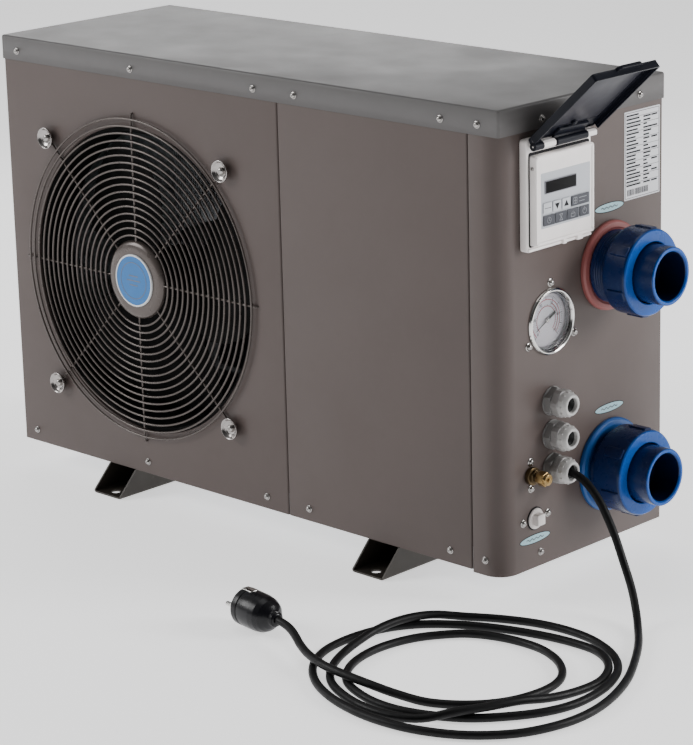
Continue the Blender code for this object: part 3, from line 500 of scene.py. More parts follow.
def holes(origin, axis, *rounds):
    """Tools that cut round holes, each given as (across, up, radius)."""
    return [Shape(origin, axis).slab(circle((u, v), r, 96), -15, 15).made("hole_tool") for u, v, r in rounds]


def soften(obj, width, angle):
    """Rounds the sharp edges of a thin sheet."""
    soft = obj.modifiers.new("edge", "BEVEL")
    soft.width = width
    soft.segments = 2
    soft.limit_method = "ANGLE"
    soft.angle_limit = radians(angle)


def screws(name, spots, radius, height, washer=0.0):
    """Domed heads with a cross hinted by two crossed lands, on optional washers. Spots are (x, y, z, axis)."""
    shape = Shape(P(0, 0, 0))
    base = 0.8 if washer else 0.0
    dome = [(0.0, base + height * 0.62), (radius * 0.22, base + height * 0.62), (radius * 0.34, base + height)]
    for a in (pi / 2 * step / 5 for step in range(1, 6)):
        dome.append((radius * (0.34 + 0.66 * sin(a)), base + height * cos(a) * 0.999))
    dome += [(radius, base - 0.6), (0, base - 0.6)]
    for *spot, axis in spots:
        shape.at(P(*spot), axis)
        if washer:
            shape.turn([(0, 0.9), (washer - 0.4, 0.9), (washer, 0.5), (washer, -0.3), (0, -0.3)], 28)
        shape.turn(dome, 24)
        turn = radians(random.uniform(0, 90))
        for a in (turn, turn + pi / 2):
            u, v = Vector((cos(a), sin(a))) * (radius * 0.5), Vector((-sin(a), cos(a))) * (radius * 0.1)
            top = base + height * 1.02
            shape.slab([-u - v, u - v, u + v, v - u], top - 0.6, top)
    return shape.piece(name, SCREW, smooth=50)


# ---- power cord

FLOOR = 4.45  # height of the cord's middle where it lies on the floor
OVER = FLOOR + 8.9  # and where it lies on itself

CORD_ROUTE = [  # from the gland to the plug; a point with no height lies on the floor
    (387.3, -50.5, 127.7), (393.5, -50.5, 127.5), (400, -50.5, 126.8), (408, -50.7, 124.6), (416, -51.1, 120.9),
    (424, -51.7, 115.4), (432.5, -52.6, 108), (441, -54, 99), (457, -57.5, 78), (473, -62, 52), (489, -69, 29.5),
    (506, -83, 12.2), (524, -103, FLOOR + 0.9), (545, -129), (570, -166), (594, -208), (611, -253), (618, -295),
    (614, -333), (598, -371), (567, -403), (527, -423), (485, -430.5), (444, -428), (404, -417), (369, -398),
    (341, -370), (325, -335), (322.5, -295), (331, -258), (351, -227), (382, -203), (418, -186), (458, -174),
    (493, -169), (524, -170.5), (549, -183), (567.5, -204), (578, -232), (577, -264, FLOOR + 0.5),
    (572, -297, FLOOR + 3.5), (564, -328, OVER - 0.3), (552, -358, OVER + 0.2), (536, -385, OVER - 0.6),
    (513, -405, FLOOR + 2), (485, -415), (452, -416.5), (418, -408.5), (388, -394), (365, -371.5),
    (349, -343, FLOOR + 0.5), (341, -310, FLOOR + 3.5), (339, -277, OVER - 1.5), (343, -245, OVER),
    (353, -214, OVER - 2), (373, -186, FLOOR + 1.5), (400, -166), (436, -152), (473, -147), (510, -152), (546, -169),
    (571.5, -193.5), (587, -224.5), (594, -256), (594, -289), (584, -320), (565, -349), (541, -374), (510, -391.5),
    (479, -401), (450, -401.5), (420, -394), (395, -381), (375, -357), (364, -327), (362, -294), (370, -260),
    (386, -234), (404, -216), (432, -204), (462, -200), (489, -203), (517, -216), (540, -238), (551, -264),
    (551, -294), (541, -325), (520, -351), (489, -370), (458, -379.5, FLOOR + 3), (430, -385.5, OVER - 2),
    (399, -387, OVER), (367, -383, OVER), (338, -373.5, OVER + 0.2), (316, -362.6, 14.5), (300.5, -353.4, 16.3),
    (288, -346.9, 18.0), (275.7, -342.4, 19.2), (262.9, -339.6, 19.8),
]


def smooth_route(route, steps):
    """A Catmull-Rom curve through the route's points."""
    places = [Vector((*point, FLOOR)[:3]) for point in route]
    places = [2 * places[0] - places[1]] + places + [2 * places[-1] - places[-2]]
    fine = []
    for a, b, c, d in zip(places, places[1:], places[2:], places[3:]):
        for t in (step / steps for step in range(steps)):
            fine.append(
                0.5 * (2 * b + (c - a) * t + (2 * a - 5 * b + 4 * c - d) * t**2 + (3 * b - a - 3 * c + d) * t**3)
            )
    return fine + [places[-2]]


def make_cord():
    path = [P(*point) for point in smooth_route(CORD_ROUTE, 5)]
    length = sum((b - a).length for a, b in zip(path, path[1:]))
    return place(wires("power_cord_sheath", [path], 4.2, resolution=5), RUBBER, "power_cord"), length


CORD, CORD_LENGTH = make_cord()


def make_plug():
    """Round earthed plug lying on the floor, its pins pointing away from the cord."""
    turn = radians(-8)
    along, across = Vector((cos(turn), sin(turn), 0)), Vector((-sin(turn), cos(turn), 0))
    axes = (across, Z, along)
    origin = P(261.6, -339.4, 19.8)
    body = Shape(origin, axes).turn(fillet([
        (0, -0.1), (5.0, -0.1), (6.4, -0.9), (7.0, -3), (8.0, -6.5), (12.2, -9.5), (15.8, -13.5), (18.2, -19),
        (19.2, -26), (19.4, -34), (19.4, -43.5), (18.8, -44.3), (18.8, -45.0), (19.5, -45.6), (19.5, -52.4),
        (18.8, -53.7), (15.0, -53.9), (14.6, -52.6), (0, -52.6),
    ], 0.8, closed=False, steps=3), 80)
    for rib in (1.9 * k for k in range(3)):
        body.turn([(6.9, -1.4 - rib), (7.7, -1.9 - rib), (7.7, -2.5 - rib), (6.9, -3.0 - rib)], 40, True)
    pins, sleeves = Shape(origin, axes), Shape(origin, axes)
    for side in (-9.5, 9.5):
        spot = origin + across * (side / 1000)
        pins.at(spot, axes).turn([(0, -73), (1.3, -72.8), (2.2, -71.6), (2.4, -70), (2.4, -50), (0, -50)], 28)
        sleeves.at(spot, axes).turn(
            [(2.5, -61), (2.95, -60.4), (3.3, -54), (3.3, -51), (2.4, -51), (2.4, -61)], 28, True)
    for sign in (-1, 1):
        pins.at(origin - along * 0.0455, (along, across * sign, Z * sign))
        pins.slab(rect((-7.5, -4.2), (7.5, 4.2), 1.2), 18.0, 19.9, 0.5)
    return [
        body.piece("plug_body", PLUG, "mains_plug", smooth=40), pins.piece("plug_pins", CHROME),
        sleeves.piece("plug_pin_sleeves", PLUG),
    ]


make_plug()


# ---- casing

LID_TOP, LID_LOW = 507.5, 480.5
LOW, HIGH = 29.5, 505  # lower and upper edges of the panels
SHEET = 1.2  # thickness of the panels
SEAM_FAN = 67.3  # seam between the fan panel and the service panel
SEAM_SIDE = 330.3  # seam between the service panel and the side panel
FAN = (-155.0, 253.3)  # middle of the fan's opening
GUARD = (-157.0, 255.0)  # middle of the wire guard, a little off the opening's
CUPS = ((-14.0, 397.9), (-297.7, 398.2), (-298.8, 111.3), (-13.8, 112.3))
GAUGE = (-51.0, 281.5)  # these give y and z on the side panel
UNION_Y, UNION_HEIGHTS = 41.2, {"upper": 321.5, "lower": 108.6}
GLAND_Y, GLAND_HEIGHTS = -50.5, (198.3, 163.0, 127.7)


def make_lid():
    """Pressed lid: a shallow tray turned over, with rounded edges."""
    shape = Shape(P(0, 0, 0))
    bm = shape.bm
    bmesh.ops.create_cube(bm, size=1.0)
    low, high = P(-372.5, -130, LID_LOW), P(372.5, 130, LID_TOP)
    bmesh.ops.scale(bm, vec=high - low, verts=bm.verts)
    bmesh.ops.translate(bm, vec=(low + high) / 2, verts=bm.verts)
    bottom = [f for f in bm.faces if f.normal.z < -0.9]
    bmesh.ops.delete(bm, geom=bottom, context="FACES_ONLY")
    top = [e for e in bm.edges if len(e.link_faces) == 2]
    bmesh.ops.bevel(bm, geom=top, offset=0.0028, segments=5, profile=0.5, affect="EDGES")
    lid = shape.piece("lid", LID_PAINT_WITH_SHEEN, "top_cover")
    shell = lid.modifiers.new("sheet", "SOLIDIFY")
    shell.thickness = SHEET / 1000
    shell.offset = -1


def folded(name, path, low=LOW, high=HIGH, thickness=SHEET, axis="Z"):
    """A sheet that follows a path, extruded along the axis."""
    return Shape(P(0, 0, 0), axis).slab(ribbon(path, thickness), low, high).made(name)


def panel(obj, node):
    soften(place(obj, CASING, node, smooth=32), 0.0004, 60)


def make_panels():
    def front(name, left, right, fold):
        deep = FRONT + 12
        path = [(left, deep), (left, FRONT), (right, FRONT), (right, deep)]
        return folded(name, fillet(path, fold, closed=False))

    fan = front("front_fan_sheet", -SIDE, SEAM_FAN - 0.4, 2.4)
    panel(cut(fan, holes(P(0, FRONT, 0), "-Y", (*FAN, 173.5))), "fan_panel")
    panel(front("front_service_sheet", SEAM_FAN + 0.4, SEAM_SIDE - 0.4, 2.0), "service_panel")
    path = [(SEAM_SIDE + 0.4, FRONT + 12), (SEAM_SIDE + 0.4, FRONT + 1.8), (SEAM_SIDE + 0.9, FRONT + 0.5)]
    path += [(SEAM_SIDE + 2.2, FRONT)] + arc((SIDE - 22, FRONT + 22), 22, -90, 0, 24)
    path += [(SIDE, 126.0), (SIDE - 0.6, 127.6), (SIDE - 2.2, REAR), (SIDE - 19, REAR)]
    openings = [(UNION_Y, height, 26.0) for height in UNION_HEIGHTS.values()] + [(*GAUGE, 31.6)]
    openings += [(GLAND_Y, height, 10.4) for height in GLAND_HEIGHTS]
    side = folded("right_side_sheet", path, LOW - 2.5)
    panel(cut(side, holes(P(SIDE, 0, 0), "X", *openings)), "side_panel")
    panel(folded("rear_service_sheet", [(SIDE - 19.6, REAR), (SEAM_FAN + 0.7, REAR)]), "rear_panel")


def make_lip():
    """Rolled edge of the fan opening and the shroud behind it."""
    centre = P(FAN[0], FRONT, FAN[1])
    Shape(centre, "Y").turn([
        (175.3, 0.6), (174.7, -0.3), (173.6, -0.4), (172.8, 0.4), (172.6, 2.0), (172.8, 5.0), (173.9, 5.0),
        (174.2, 2.0),
    ], 128, True).piece("opening_lip", CASING)
    Shape(centre, "Y").turn([
        (167.0, 46), (167.0, 10), (169, 6.5), (175, 4.6), (182, 4.2), (182, 2.8), (174, 3.0), (167.6, 5), (165.4, 9),
        (165.2, 46),
    ], 96, True).piece("shroud_duct", FAN_BLACK, "fan_shroud")


def make_rails():
    """Channel feet with rounded folds, sloped ends and bolt holes."""
    for side, centre in (("left", -199.8), ("right", 207.3)):
        low, high = centre - 22.5, centre + 22.5
        path = fillet([(low, 29.2), (low, 0), (high, 0), (high, 29.2)], 3.2, closed=False, steps=5)
        tools = []
        for sign in (-1, 1):
            slope = [(154.6, 2.7), (126.5, 31.5), (126.5, 60), (200, 60), (200, 2.7)]
            slope = [(sign * y, z) for y, z in slope]
            bolt = circle((0, 0), 5.5, 32)
            tools.append(Shape(P(centre, 0, 0)).slab(slope, -40, 40).made("slope_tool"))
            tools.append(Shape(P(centre, sign * 141, 0), "Z").slab(bolt, -8, 8).made("bolt_tool"))
        rail = cut(folded(f"foot_channel_{side}", path, -154, 154, 2.0, "-Y"), tools)
        soften(place(rail, RAIL, f"foot_rail_{side}", smooth=32), 0.0005, 50)


def make_guards():
    """Plastic-coated wires behind the openings of the rear and left guards."""
    steps, bars = [12.2 * k for k in range(33)], [64 + 50 * k for k in range(9)]
    rear = [[P(step - 346, 126.2, z) for z in (58, 474)] for step in steps]
    rear += [[P(x, 125.0, z) for x in (-348, 50)] for z in bars]
    left = [[P(-368.9, step - 93, z) for z in (58, 474)] for step in steps[:17]]
    left += [[P(-367.9, y, z) for y in (-98, 106)] for z in bars]
    for side, paths in (("rear", rear), ("left", left)):
        place(wires(f"{side}_guard_wires", paths, 0.9, resolution=2), GRILLE)


def make_cabinet_screws():
    lid_row = (-345.7, -155.7, 34.6, 94.6, 297.0, 345.0)
    sides = ((1, "X", 41.8), (-1, "-X", 43.3))
    spots = [(x, FRONT, 43.3, "-Y") for x in (-348.4, -156.5, 34.3, 98.3, 300.6, 347.9)]
    spots += [(x, -130, 491, "-Y") for x in lid_row]
    spots += [(sign * 372.5, y, 490, axis) for y in (-65.6, 88.8) for sign, axis, low in sides]
    spots += [(sign * SIDE, y, low, axis) for y in (-68.9, 98.0) for sign, axis, low in sides]
    spots += [(x, 130, 491, "Y") for x in lid_row]
    spots += [(x, REAR, 43.3, "Y") for x in (-340, -148, 48, 90, 330)]
    screws("cabinet_screws", spots, 3.1, 2.3, 4.0)


# ---- fan


def guard_point(radius, angle, depth):
    return P(GUARD[0] + radius * cos(angle), FRONT - depth, GUARD[1] + radius * sin(angle))


def make_grille():
    """Wire guard: seventeen rings on eight spokes, held by four cup washers."""
    inside, outside, count = 51.0, 181.0, 17
    rings = []
    for i in range(count):
        radius = inside + (outside - inside) * i / (count - 1)
        depth = 4.2 if i == count - 1 else 5.0
        rings.append([guard_point(radius, 2 * pi * k / 128, depth) for k in range(128)])
    place(wires("guard_rings", rings, 1.2, cyclic=True), GRILLE, "fan_grille")
    paths = []
    for angle in (k * pi / 2 for k in range(4)):
        spoke = [guard_point(radius, angle, 2.7) for radius in (40, 90, 140, 184)]
        paths.append(spoke + [guard_point(186.4, angle, 2.2), guard_point(187.2, angle, -1.0)])
    for x, z in CUPS:
        angle = atan2(z - GUARD[1], x - GUARD[0])
        reach = hypot(z - GUARD[1], x - GUARD[0])
        eye = [angle + pi + 2 * pi * step / 20 for step in range(21)]
        paths.append([guard_point(radius, angle, 2.7) for radius in (40, 90, 140, reach - 6)])
        paths.append([P(x + u, FRONT - 2.7, z + v) for u, v in (polar(6, a) for a in eye)])
    place(wires("guard_spokes", paths, 1.25), GRILLE)
    cups = Shape(P(0, 0, 0))
    for x, z in CUPS:
        cups.at(P(x, FRONT, z), "-Y").turn([
            (3.8, 4.9), (6.4, 5.2), (9.0, 6.3), (10.7, 8.2), (11.5, 8.9), (12.1, 8.4), (11.9, 6.6), (10.4, 4.9),
            (7.2, 4.1), (3.8, 4.0),
        ], 64, True, 0.5)
    cups.piece("cup_washers", CUP_STEEL, smooth=50)
    screws("cup_screws", [(x, FRONT - 4.9, z, "-Y") for x, z in CUPS], 4.3, 3.4)

    centre = P(-157.5, FRONT, 255.6)
    Shape(centre, "-Y").turn([
        (0, 7.2), (34, 7.2), (38.5, 6.9), (42, 5.6), (43.8, 3.6), (44.3, 1.6), (43.4, 1.0), (42.6, 2.8), (40.8, 4.5),
        (37.8, 5.6), (0, 5.8),
    ], 96).piece("guard_centre_dish", GRILLE, "grille_hub_plate")
    disc = Shape(centre, "-Y").turn([(0, 8.9), (27.4, 8.9), (27.7, 8.6), (27.7, 7.3), (0, 7.3)], 96)
    disc.piece("badge_disc", BADGE, "grille_badge")
    rim = [(27.6, 7.0), (27.6, 8.9), (28.0, 9.2), (29.2, 9.1), (29.6, 8.6), (29.6, 7.0)]
    Shape(centre, "-Y").turn(rim, 96, True).piece("badge_rim", BADGE_RIM)
    marks = Shape(centre, "-Y").band(circle((0, 0), 21.0), circle((0, 0), 20.2), 8.85, 9.05)
    for width, height in ((15, 5.2), (22, 0), (13, -5.2)):
        marks.slab(rect((-width / 2, height - 0.6), (width / 2, height + 0.6), 0.3), 8.8, 9.02)
    marks.piece("badge_print", INK_GREY, slot="badge_blue")


BLADE_ROWS, BLADE_COLUMNS = range(14), range(16)


def blade_point(blade, face, row, column):
    """A point on one face of a sickle blade, in mm from the rotor's middle."""
    share = row / BLADE_ROWS[-1]
    radius = 26 + 131.5 * share
    across = column / BLADE_COLUMNS[-1] - 0.5
    width = 58 + 30 * sin(pi * min(share * 0.85 + 0.1, 1))
    angle = radians(120 * blade + across * width + 20 * share**1.6)
    pitch = (38 + 6 * share) * across + 5 * (1 - 4 * across * across) * (0.6 + share)
    thick = 1.3 * sqrt(max(0.0, 1 - (2 * across) ** 4)) * (1 - 0.4 * share) + 0.35
    if row == BLADE_ROWS[-1]:
        thick *= 0.5
    return Vector((radius * cos(angle), pitch + face * thick, radius * sin(angle)))


def make_rotor():
    """Sickle blades on a domed hub, with the shaft into the motor."""
    rotor = Shape(P(FAN[0], -84.0, FAN[1]), "Y")
    for blade in range(3):
        spots = [(face, row, column) for face in (-1, 1) for row in BLADE_ROWS for column in BLADE_COLUMNS]
        grid = {spot: rotor.bm.verts.new(rotor.origin + blade_point(blade, *spot) / 1000) for spot in spots}

        def quad(*corners):
            rotor.bm.faces.new([grid[corner] for corner in corners])

        for r in BLADE_ROWS[:-1]:
            for c in BLADE_COLUMNS[:-1]:
                quad((-1, r, c + 1), (-1, r + 1, c + 1), (-1, r + 1, c), (-1, r, c))
                quad((1, r, c), (1, r + 1, c), (1, r + 1, c + 1), (1, r, c + 1))
            for c in (0, BLADE_COLUMNS[-1]):
                quad((-1, r, c), (-1, r + 1, c), (1, r + 1, c), (1, r, c))
        for r in (0, BLADE_ROWS[-1]):
            for c in BLADE_COLUMNS[:-1]:
                quad((-1, r, c), (-1, r, c + 1), (1, r, c + 1), (1, r, c))
    rotor.turn([
        (0, -22.4), (12, -22), (22, -20), (28, -15.5), (30, -9), (30, 19), (28.6, 21), (8, 22), (6, 24), (6, 56),
        (0, 56),
    ], 64)
    rotor.turn([(0, -24.5), (5.5, -24.5), (6.5, -23.5), (6.5, -21.5), (0, -21.5)], 6)
    rotor.piece("rotor_blades", FAN_BLACK, "fan_rotor", body="rotor", smooth=40)


def make_motor():
    Shape(P(FAN[0], -50.0, FAN[1]), "Y").turn([
        (7, 0.4), (16, 0), (17, 2), (38, 3), (43, 5), (46, 10), (46, 30), (46.9, 31), (46.9, 34), (46, 35), (46, 58),
        (43, 63), (36, 66), (0, 66),
    ], 64).piece("motor_can", GALVANISED, "fan_motor")


# ---- controller


def make_controller():
    origin = P(SIDE, 0, 0)
    box = Shape(origin).slab(rect((-98.5, 361.5), (0.5, 474.5), 4.5, 5), 0.3, 9.7, 1.3)
    lug = fillet([(8, 462), (14.5, 464.5), (19.6, 466), (19.6, 470.5), (17, 472.4), (8, 472.4)], 1.2, steps=3)
    for start, end in ((-82.4, -64.6), (-15.0, -2.0)):
        box.at(P(SIDE, start, 0), (X, Z, Y)).slab(lug, 0, end - start, 0.4)
    box.piece("controller_back_box", WHITE, "controller_housing")

    outer = rect((-93.8, 368.0), (-4.0, 458.5), 2.5)
    face = Shape(origin).slab(outer, 9.2, 17.2, 0.9)
    face.band(inset_outline(outer, 0.9), inset_outline(outer, 3.4), 16.4, 18.0)
    face.piece("controller_front", WHITE, "controller_faceplate")
    outer, inner = rect((-95.6, 366.4), (-2.4, 461.4), 3), rect((-93.4, 368.4), (-4.4, 458.2), 3)
    # a dark band in the gap around the faceplate: a painted shadow line between faceplate and housing
    Shape(origin).band(outer, inner, 9.5, 9.85).piece("controller_gap_shade", INK_AND_SHADE_DARK, slot="white_plastic")
    latches = Shape(origin)
    for low, high in ((-46.5, -41.5), (-25.0, -16.5)):
        latches.slab(rect((low, 362.0), (high, 368.6), 0.6), 9.2, 13.5, 0.5)
    latches.slab(rect((-97.2, 362.6), (-0.8, 365.2), 0.8), 9.2, 11.2, 0.6).piece("controller_latches", WHITE)

    Shape(origin).slab(rect((-85.6, 384.6), (-10.2, 440.2), 1.5), 17.0, 17.24, 0.1).piece("keypad_sheet", STICKER)
    pane = Shape(origin).slab(rect((-79.3, 419.5), (-32.9, 431.3), 0.6), 17.2, 18.1, 0.25)
    pane.piece("display_pane", DISPLAY, "display_window")
    edge = rect((-79.9, 418.9), (-32.3, 431.9), 0.9)
    edge = Shape(origin).band(edge, inset_outline(edge, 0.7), 17.3, 18.2)
    edge.piece("display_frame", INK_GREY, slot="display_black")
    make_keys(origin)
    screws("controller_screw", [(SIDE + 13.4, -93.8, 446, "-Y")], 2.1, 1.0)


KEY_ROWS = {  # each row's lower and upper edges, and each key's left and right ones
    (399.5, 410.0): {"mode": (-83.0, -70.0), "down": (-68.5, -56.0), "up": (-54.5, -42.0), "set": (-40.0, -13.0)},
    (387.0, 397.5): {"clock": (-83.0, -66.0), "timer": (-65.0, -48.0), "lock": (-47.0, -29.5), "power": (-27.5, -13.0)},
}
KEY_MARKS = {  # strokes of a plain symbol about the key's middle
    "mode": [[(-4.4, 0), (-1.6, 0)], [(-0.8, 0), (1.4, 0)], [(2.2, 0), (4.4, 0)]],
    "set": [
        [(-10.6, -3), (-5.6, -3), (-5.6, 3), (-10.6, 3), (-10.6, -3)], [(-10.6, 0), (-5.6, 0)],
        [(-8.1, -3), (-8.1, 3)], [(-2, 2), (9, 2)], [(-2, -1.6), (6, -1.6)],
    ],
    "clock": [arc((0, 0), 2.9, 0, 360, 14), [(0, 1.9), (0, 0), (1.5, -0.8)]],
    "timer": [[(-2.4, 3), (2.4, 3), (-2.4, -3), (2.4, -3), (-2.4, 3)]],
    "lock": [[(-3, -3), (3, -3), (3, 0.4), (-3, 0.4), (-3, -3)], arc((0, 0.6), 1.9, 0, 180, 8)],
    "power": [arc((0, 0), 2.9, 125, 415, 14), [(0, 0.6), (0, 3.6)]],
}
PALE_KEYS = ("mode", "down", "up")


def make_keys(origin):
    for (low, high), row in KEY_ROWS.items():
        for name, (left, right) in row.items():
            pale = name in PALE_KEYS
            kind = {"body": f"button_{name}", "slot": "key_white" if pale else "key_grey"}
            cap = Shape(origin).slab(rect((left, low), (right, high), 0.7), 17.76, 18.45, 0.25)
            cap.piece(f"key_cap_{name}", KEY_PALE if pale else KEY_GREY, f"key_{name}", **kind)
            mark = Shape(origin + Vector((0, left + right, low + high)) / 2000)
            for line in KEY_MARKS.get(name, ()):
                mark.stroke(line, 0.55, 18.3, 18.55)
            if name in ("down", "up"):
                sign = 1 if name == "up" else -1
                mark.slab([(-3.6, -sign * 2.6), (3.6, -sign * 2.6), (0, sign * 3.4)], 18.3, 18.55)
            mark.piece(f"key_print_{name}", INK_AND_SHADE_DARK if pale else INK_PALE, **kind)


def make_cover():
    """Smoked cover in its own plane (u along, w out), turned open about its hinge."""
    tilt = radians(42.3)
    axis = P(SIDE + 17, 0, 468.5)
    along, out = Vector((cos(tilt), 0, sin(tilt))), Vector((-sin(tilt), 0, cos(tilt)))
    flat = (along, Y, out)
    shell = Shape(axis, flat).slab(rect((0, -98), (109, 0.2), 3.0, 5), 7.5, 9.0, 0.5)
    wall = rect((0.4, -97.9), (108.9, 0.1), 2.9, 5)
    lip = inset_outline(wall, 1.5)
    shell.band(wall, inset_outline(wall, 1.7), 0.8, 8.2).band(lip, inset_outline(lip, 0.9), 3.2, 4.0)
    tab = fillet([(107, -64), (111.6, -62), (113.4, -58), (113.4, -30), (111.6, -26), (107, -24)], 1.5)
    shell.slab(tab, 5.6, 9.4, 0.7).slab(rect((4.5, -66), (15, -20), 1.5), 4.4, 7.6, 0.6)
    shell.at(axis + along * 0.022 + Y * -0.05, (Y, along, out))
    shell.turn([(0, 3.2), (2.2, 3.4), (3.0, 4.2), (3.0, 7), (0, 7)], 28)
    # the near wall is taken away at the hinge, where the lugs stand
    notch = Shape(axis, (along, out, Y)).slab([(-12, -8), (4.6, -8), (4.6, 6.4), (-12, 6.4)], -110, 10)
    cover = cut(shell.made("cover_shell"), [notch.made("notch_tool")], use_self=True)
    place(cover, SMOKED, "flip_cover", body="cover", smooth=40)
    pane = Shape(axis, flat).slab(rect((19, -89), (99, -9), 3.0, 5), 7.1, 7.7, 0.25)
    pane.piece("cover_pane", SMOKED_PANE, body="cover")
    edge = rect((17.6, -90.4), (100.4, -7.6), 4.0, 5)
    edge = Shape(axis, flat).band(edge, inset_outline(edge, 1.2), 6.9, 7.8)
    edge.piece("cover_pane_edge", SMOKED, body="cover")
    barrels = Shape(axis)
    web = fillet([(-1.6, 1.5), (2.2, 1.5), (3.8, 8.6), (0.4, 8.6)], 0.6, steps=2)
    for start, end in ((-97.4, -83.4), (-63.6, -16.0)):
        barrel = [(1.1, start), (3.6, start), (4.1, start + 0.5), (4.1, end - 0.5), (3.6, end), (1.1, end)]
        barrels.at(axis, "Y").turn(barrel, 28, True)
        barrels.at(axis, (along, out, Y)).slab(web, start, end, 0.3)
    barrels.piece("cover_hinge_barrels", SMOKED, body="cover")
    Shape(axis, "Y").turn([(0, -97), (1.0, -97), (1.0, -1), (0, -1)], 16).piece("hinge_pin", SCREW)


# ---- gauge

DIAL_START, DIAL_SWEEP = 207 + 18, -270  # angles of the scale's zero and of the whole scale
NEEDLE_ANGLE = 207


def make_gauge():
    centre = P(SIDE, *GAUGE)

    def turned(name, look, profile, *nodes, steps=96, closed=False, edge=0.0, **kind):
        Shape(centre).turn(profile, steps, closed, edge).piece(name, look, *nodes, **kind)

    turned("gauge_bezel", CHROME, [
        (28.8, -7.0), (29.6, -1.0), (30.2, 1.4), (31.0, 2.9), (32.1, 3.4), (33.0, 3.2), (34.2, 2.2), (34.8, 0.9),
        (34.8, 0.1), (31.0, 0.1), (31.0, -25), (28.8, -25),
    ], "gauge_case", steps=128, closed=True, edge=0.5)
    turned("gauge_back", SCREW, [(0, -24), (30.6, -24), (30.6, -26), (0, -26)], steps=64)
    turned("gauge_card", DIAL, [(0, -6.9), (28.6, -6.9), (28.9, -7.2), (28.9, -8), (0, -8)], "gauge_dial")
    gasket = [(27.6, -3.4), (29.4, -3.2), (29.4, -5.2), (27.9, -5.4)]
    turned("gauge_gasket", INK_GREY, gasket, closed=True, slot="dial_white")
    turned("gauge_lens", GLASS, [(0, 0.5), (20, 0.35), (29.2, -0.4), (29.2, -2.0), (0, -1.4)])

    marks = Shape(centre)
    for k in range(51):
        a = radians(DIAL_START + DIAL_SWEEP * k / 50)
        inner, width = (23.2, 0.3) if k % 5 else (21.6, 0.6)
        marks.stroke([polar(inner, a), polar(24.6, a)], width, -6.95, -6.8)
    for k in range(31):
        a = radians(DIAL_START + DIAL_SWEEP * k / 30)
        marks.stroke([polar(14.6, a), polar(15.9, a)], 0.3, -6.95, -6.8)
    marks.piece("gauge_marks", INK_AND_SHADE_DARK, slot="dial_white")
    arcs = Shape(centre)
    for radius in (20.9, 14.2):
        arcs.stroke(arc((0, 0), radius, DIAL_START, DIAL_START + DIAL_SWEEP, 60), 0.8, -6.95, -6.82)
    arcs.stroke(arc((0, 0), 17.6, 60, -45, 24), 1.1, -6.95, -6.84).piece("gauge_arcs", INK_PINK)
    upright = Matrix((Z, X, Y)).to_4x4()
    for k in range(6):
        text = bpy.data.curves.new(f"dial_number_{k}", "FONT")
        text.body = str(10 * k)
        text.size = 0.0042
        text.align_x = text.align_y = "CENTER"
        text.extrude = 0.00005
        number = bpy.data.objects.new(f"dial_number_{k}", text)
        spot = centre + Vector((-6.82, *polar(18.0, radians(DIAL_START + DIAL_SWEEP * k / 5)))) / 1000
        number.matrix_world = Matrix.Translation(spot) @ upright
        place(number, INK_AND_SHADE_DARK, slot="dial_white")

    d, n = (Vector(polar(1, radians(angle))) for angle in (NEEDLE_ANGLE, NEEDLE_ANGLE + 90))
    shape = [d * 19.5, d * 2 + n * 0.55, n * 1.0 - d * 3, n * 1.35 - d * 14, -n * 1.35 - d * 14, -n * 1.0 - d * 3,
             d * 2 - n * 0.55]
    pointer = Shape(centre).slab([tuple(p) for p in shape], -5.4, -4.9)
    pointer.piece("gauge_pointer", INK_AND_SHADE_DARK, "gauge_needle", body="needle", slot="needle_black")
    boss = [(0, -3.6), (1.6, -3.7), (2.4, -4.4), (2.4, -6.2), (0, -6.2)]
    turned("gauge_boss", SCREW, boss, steps=24, body="needle", slot="needle_black")
    spots = (polar(40.1, radians(angle)) for angle in (91, 209, -28))
    screws("gauge_screws", [(SIDE, GAUGE[0] + y, GAUGE[1] + z, "X") for y, z in spots], 3.4, 3.0, 4.6)


# ---- glands, valve, drain


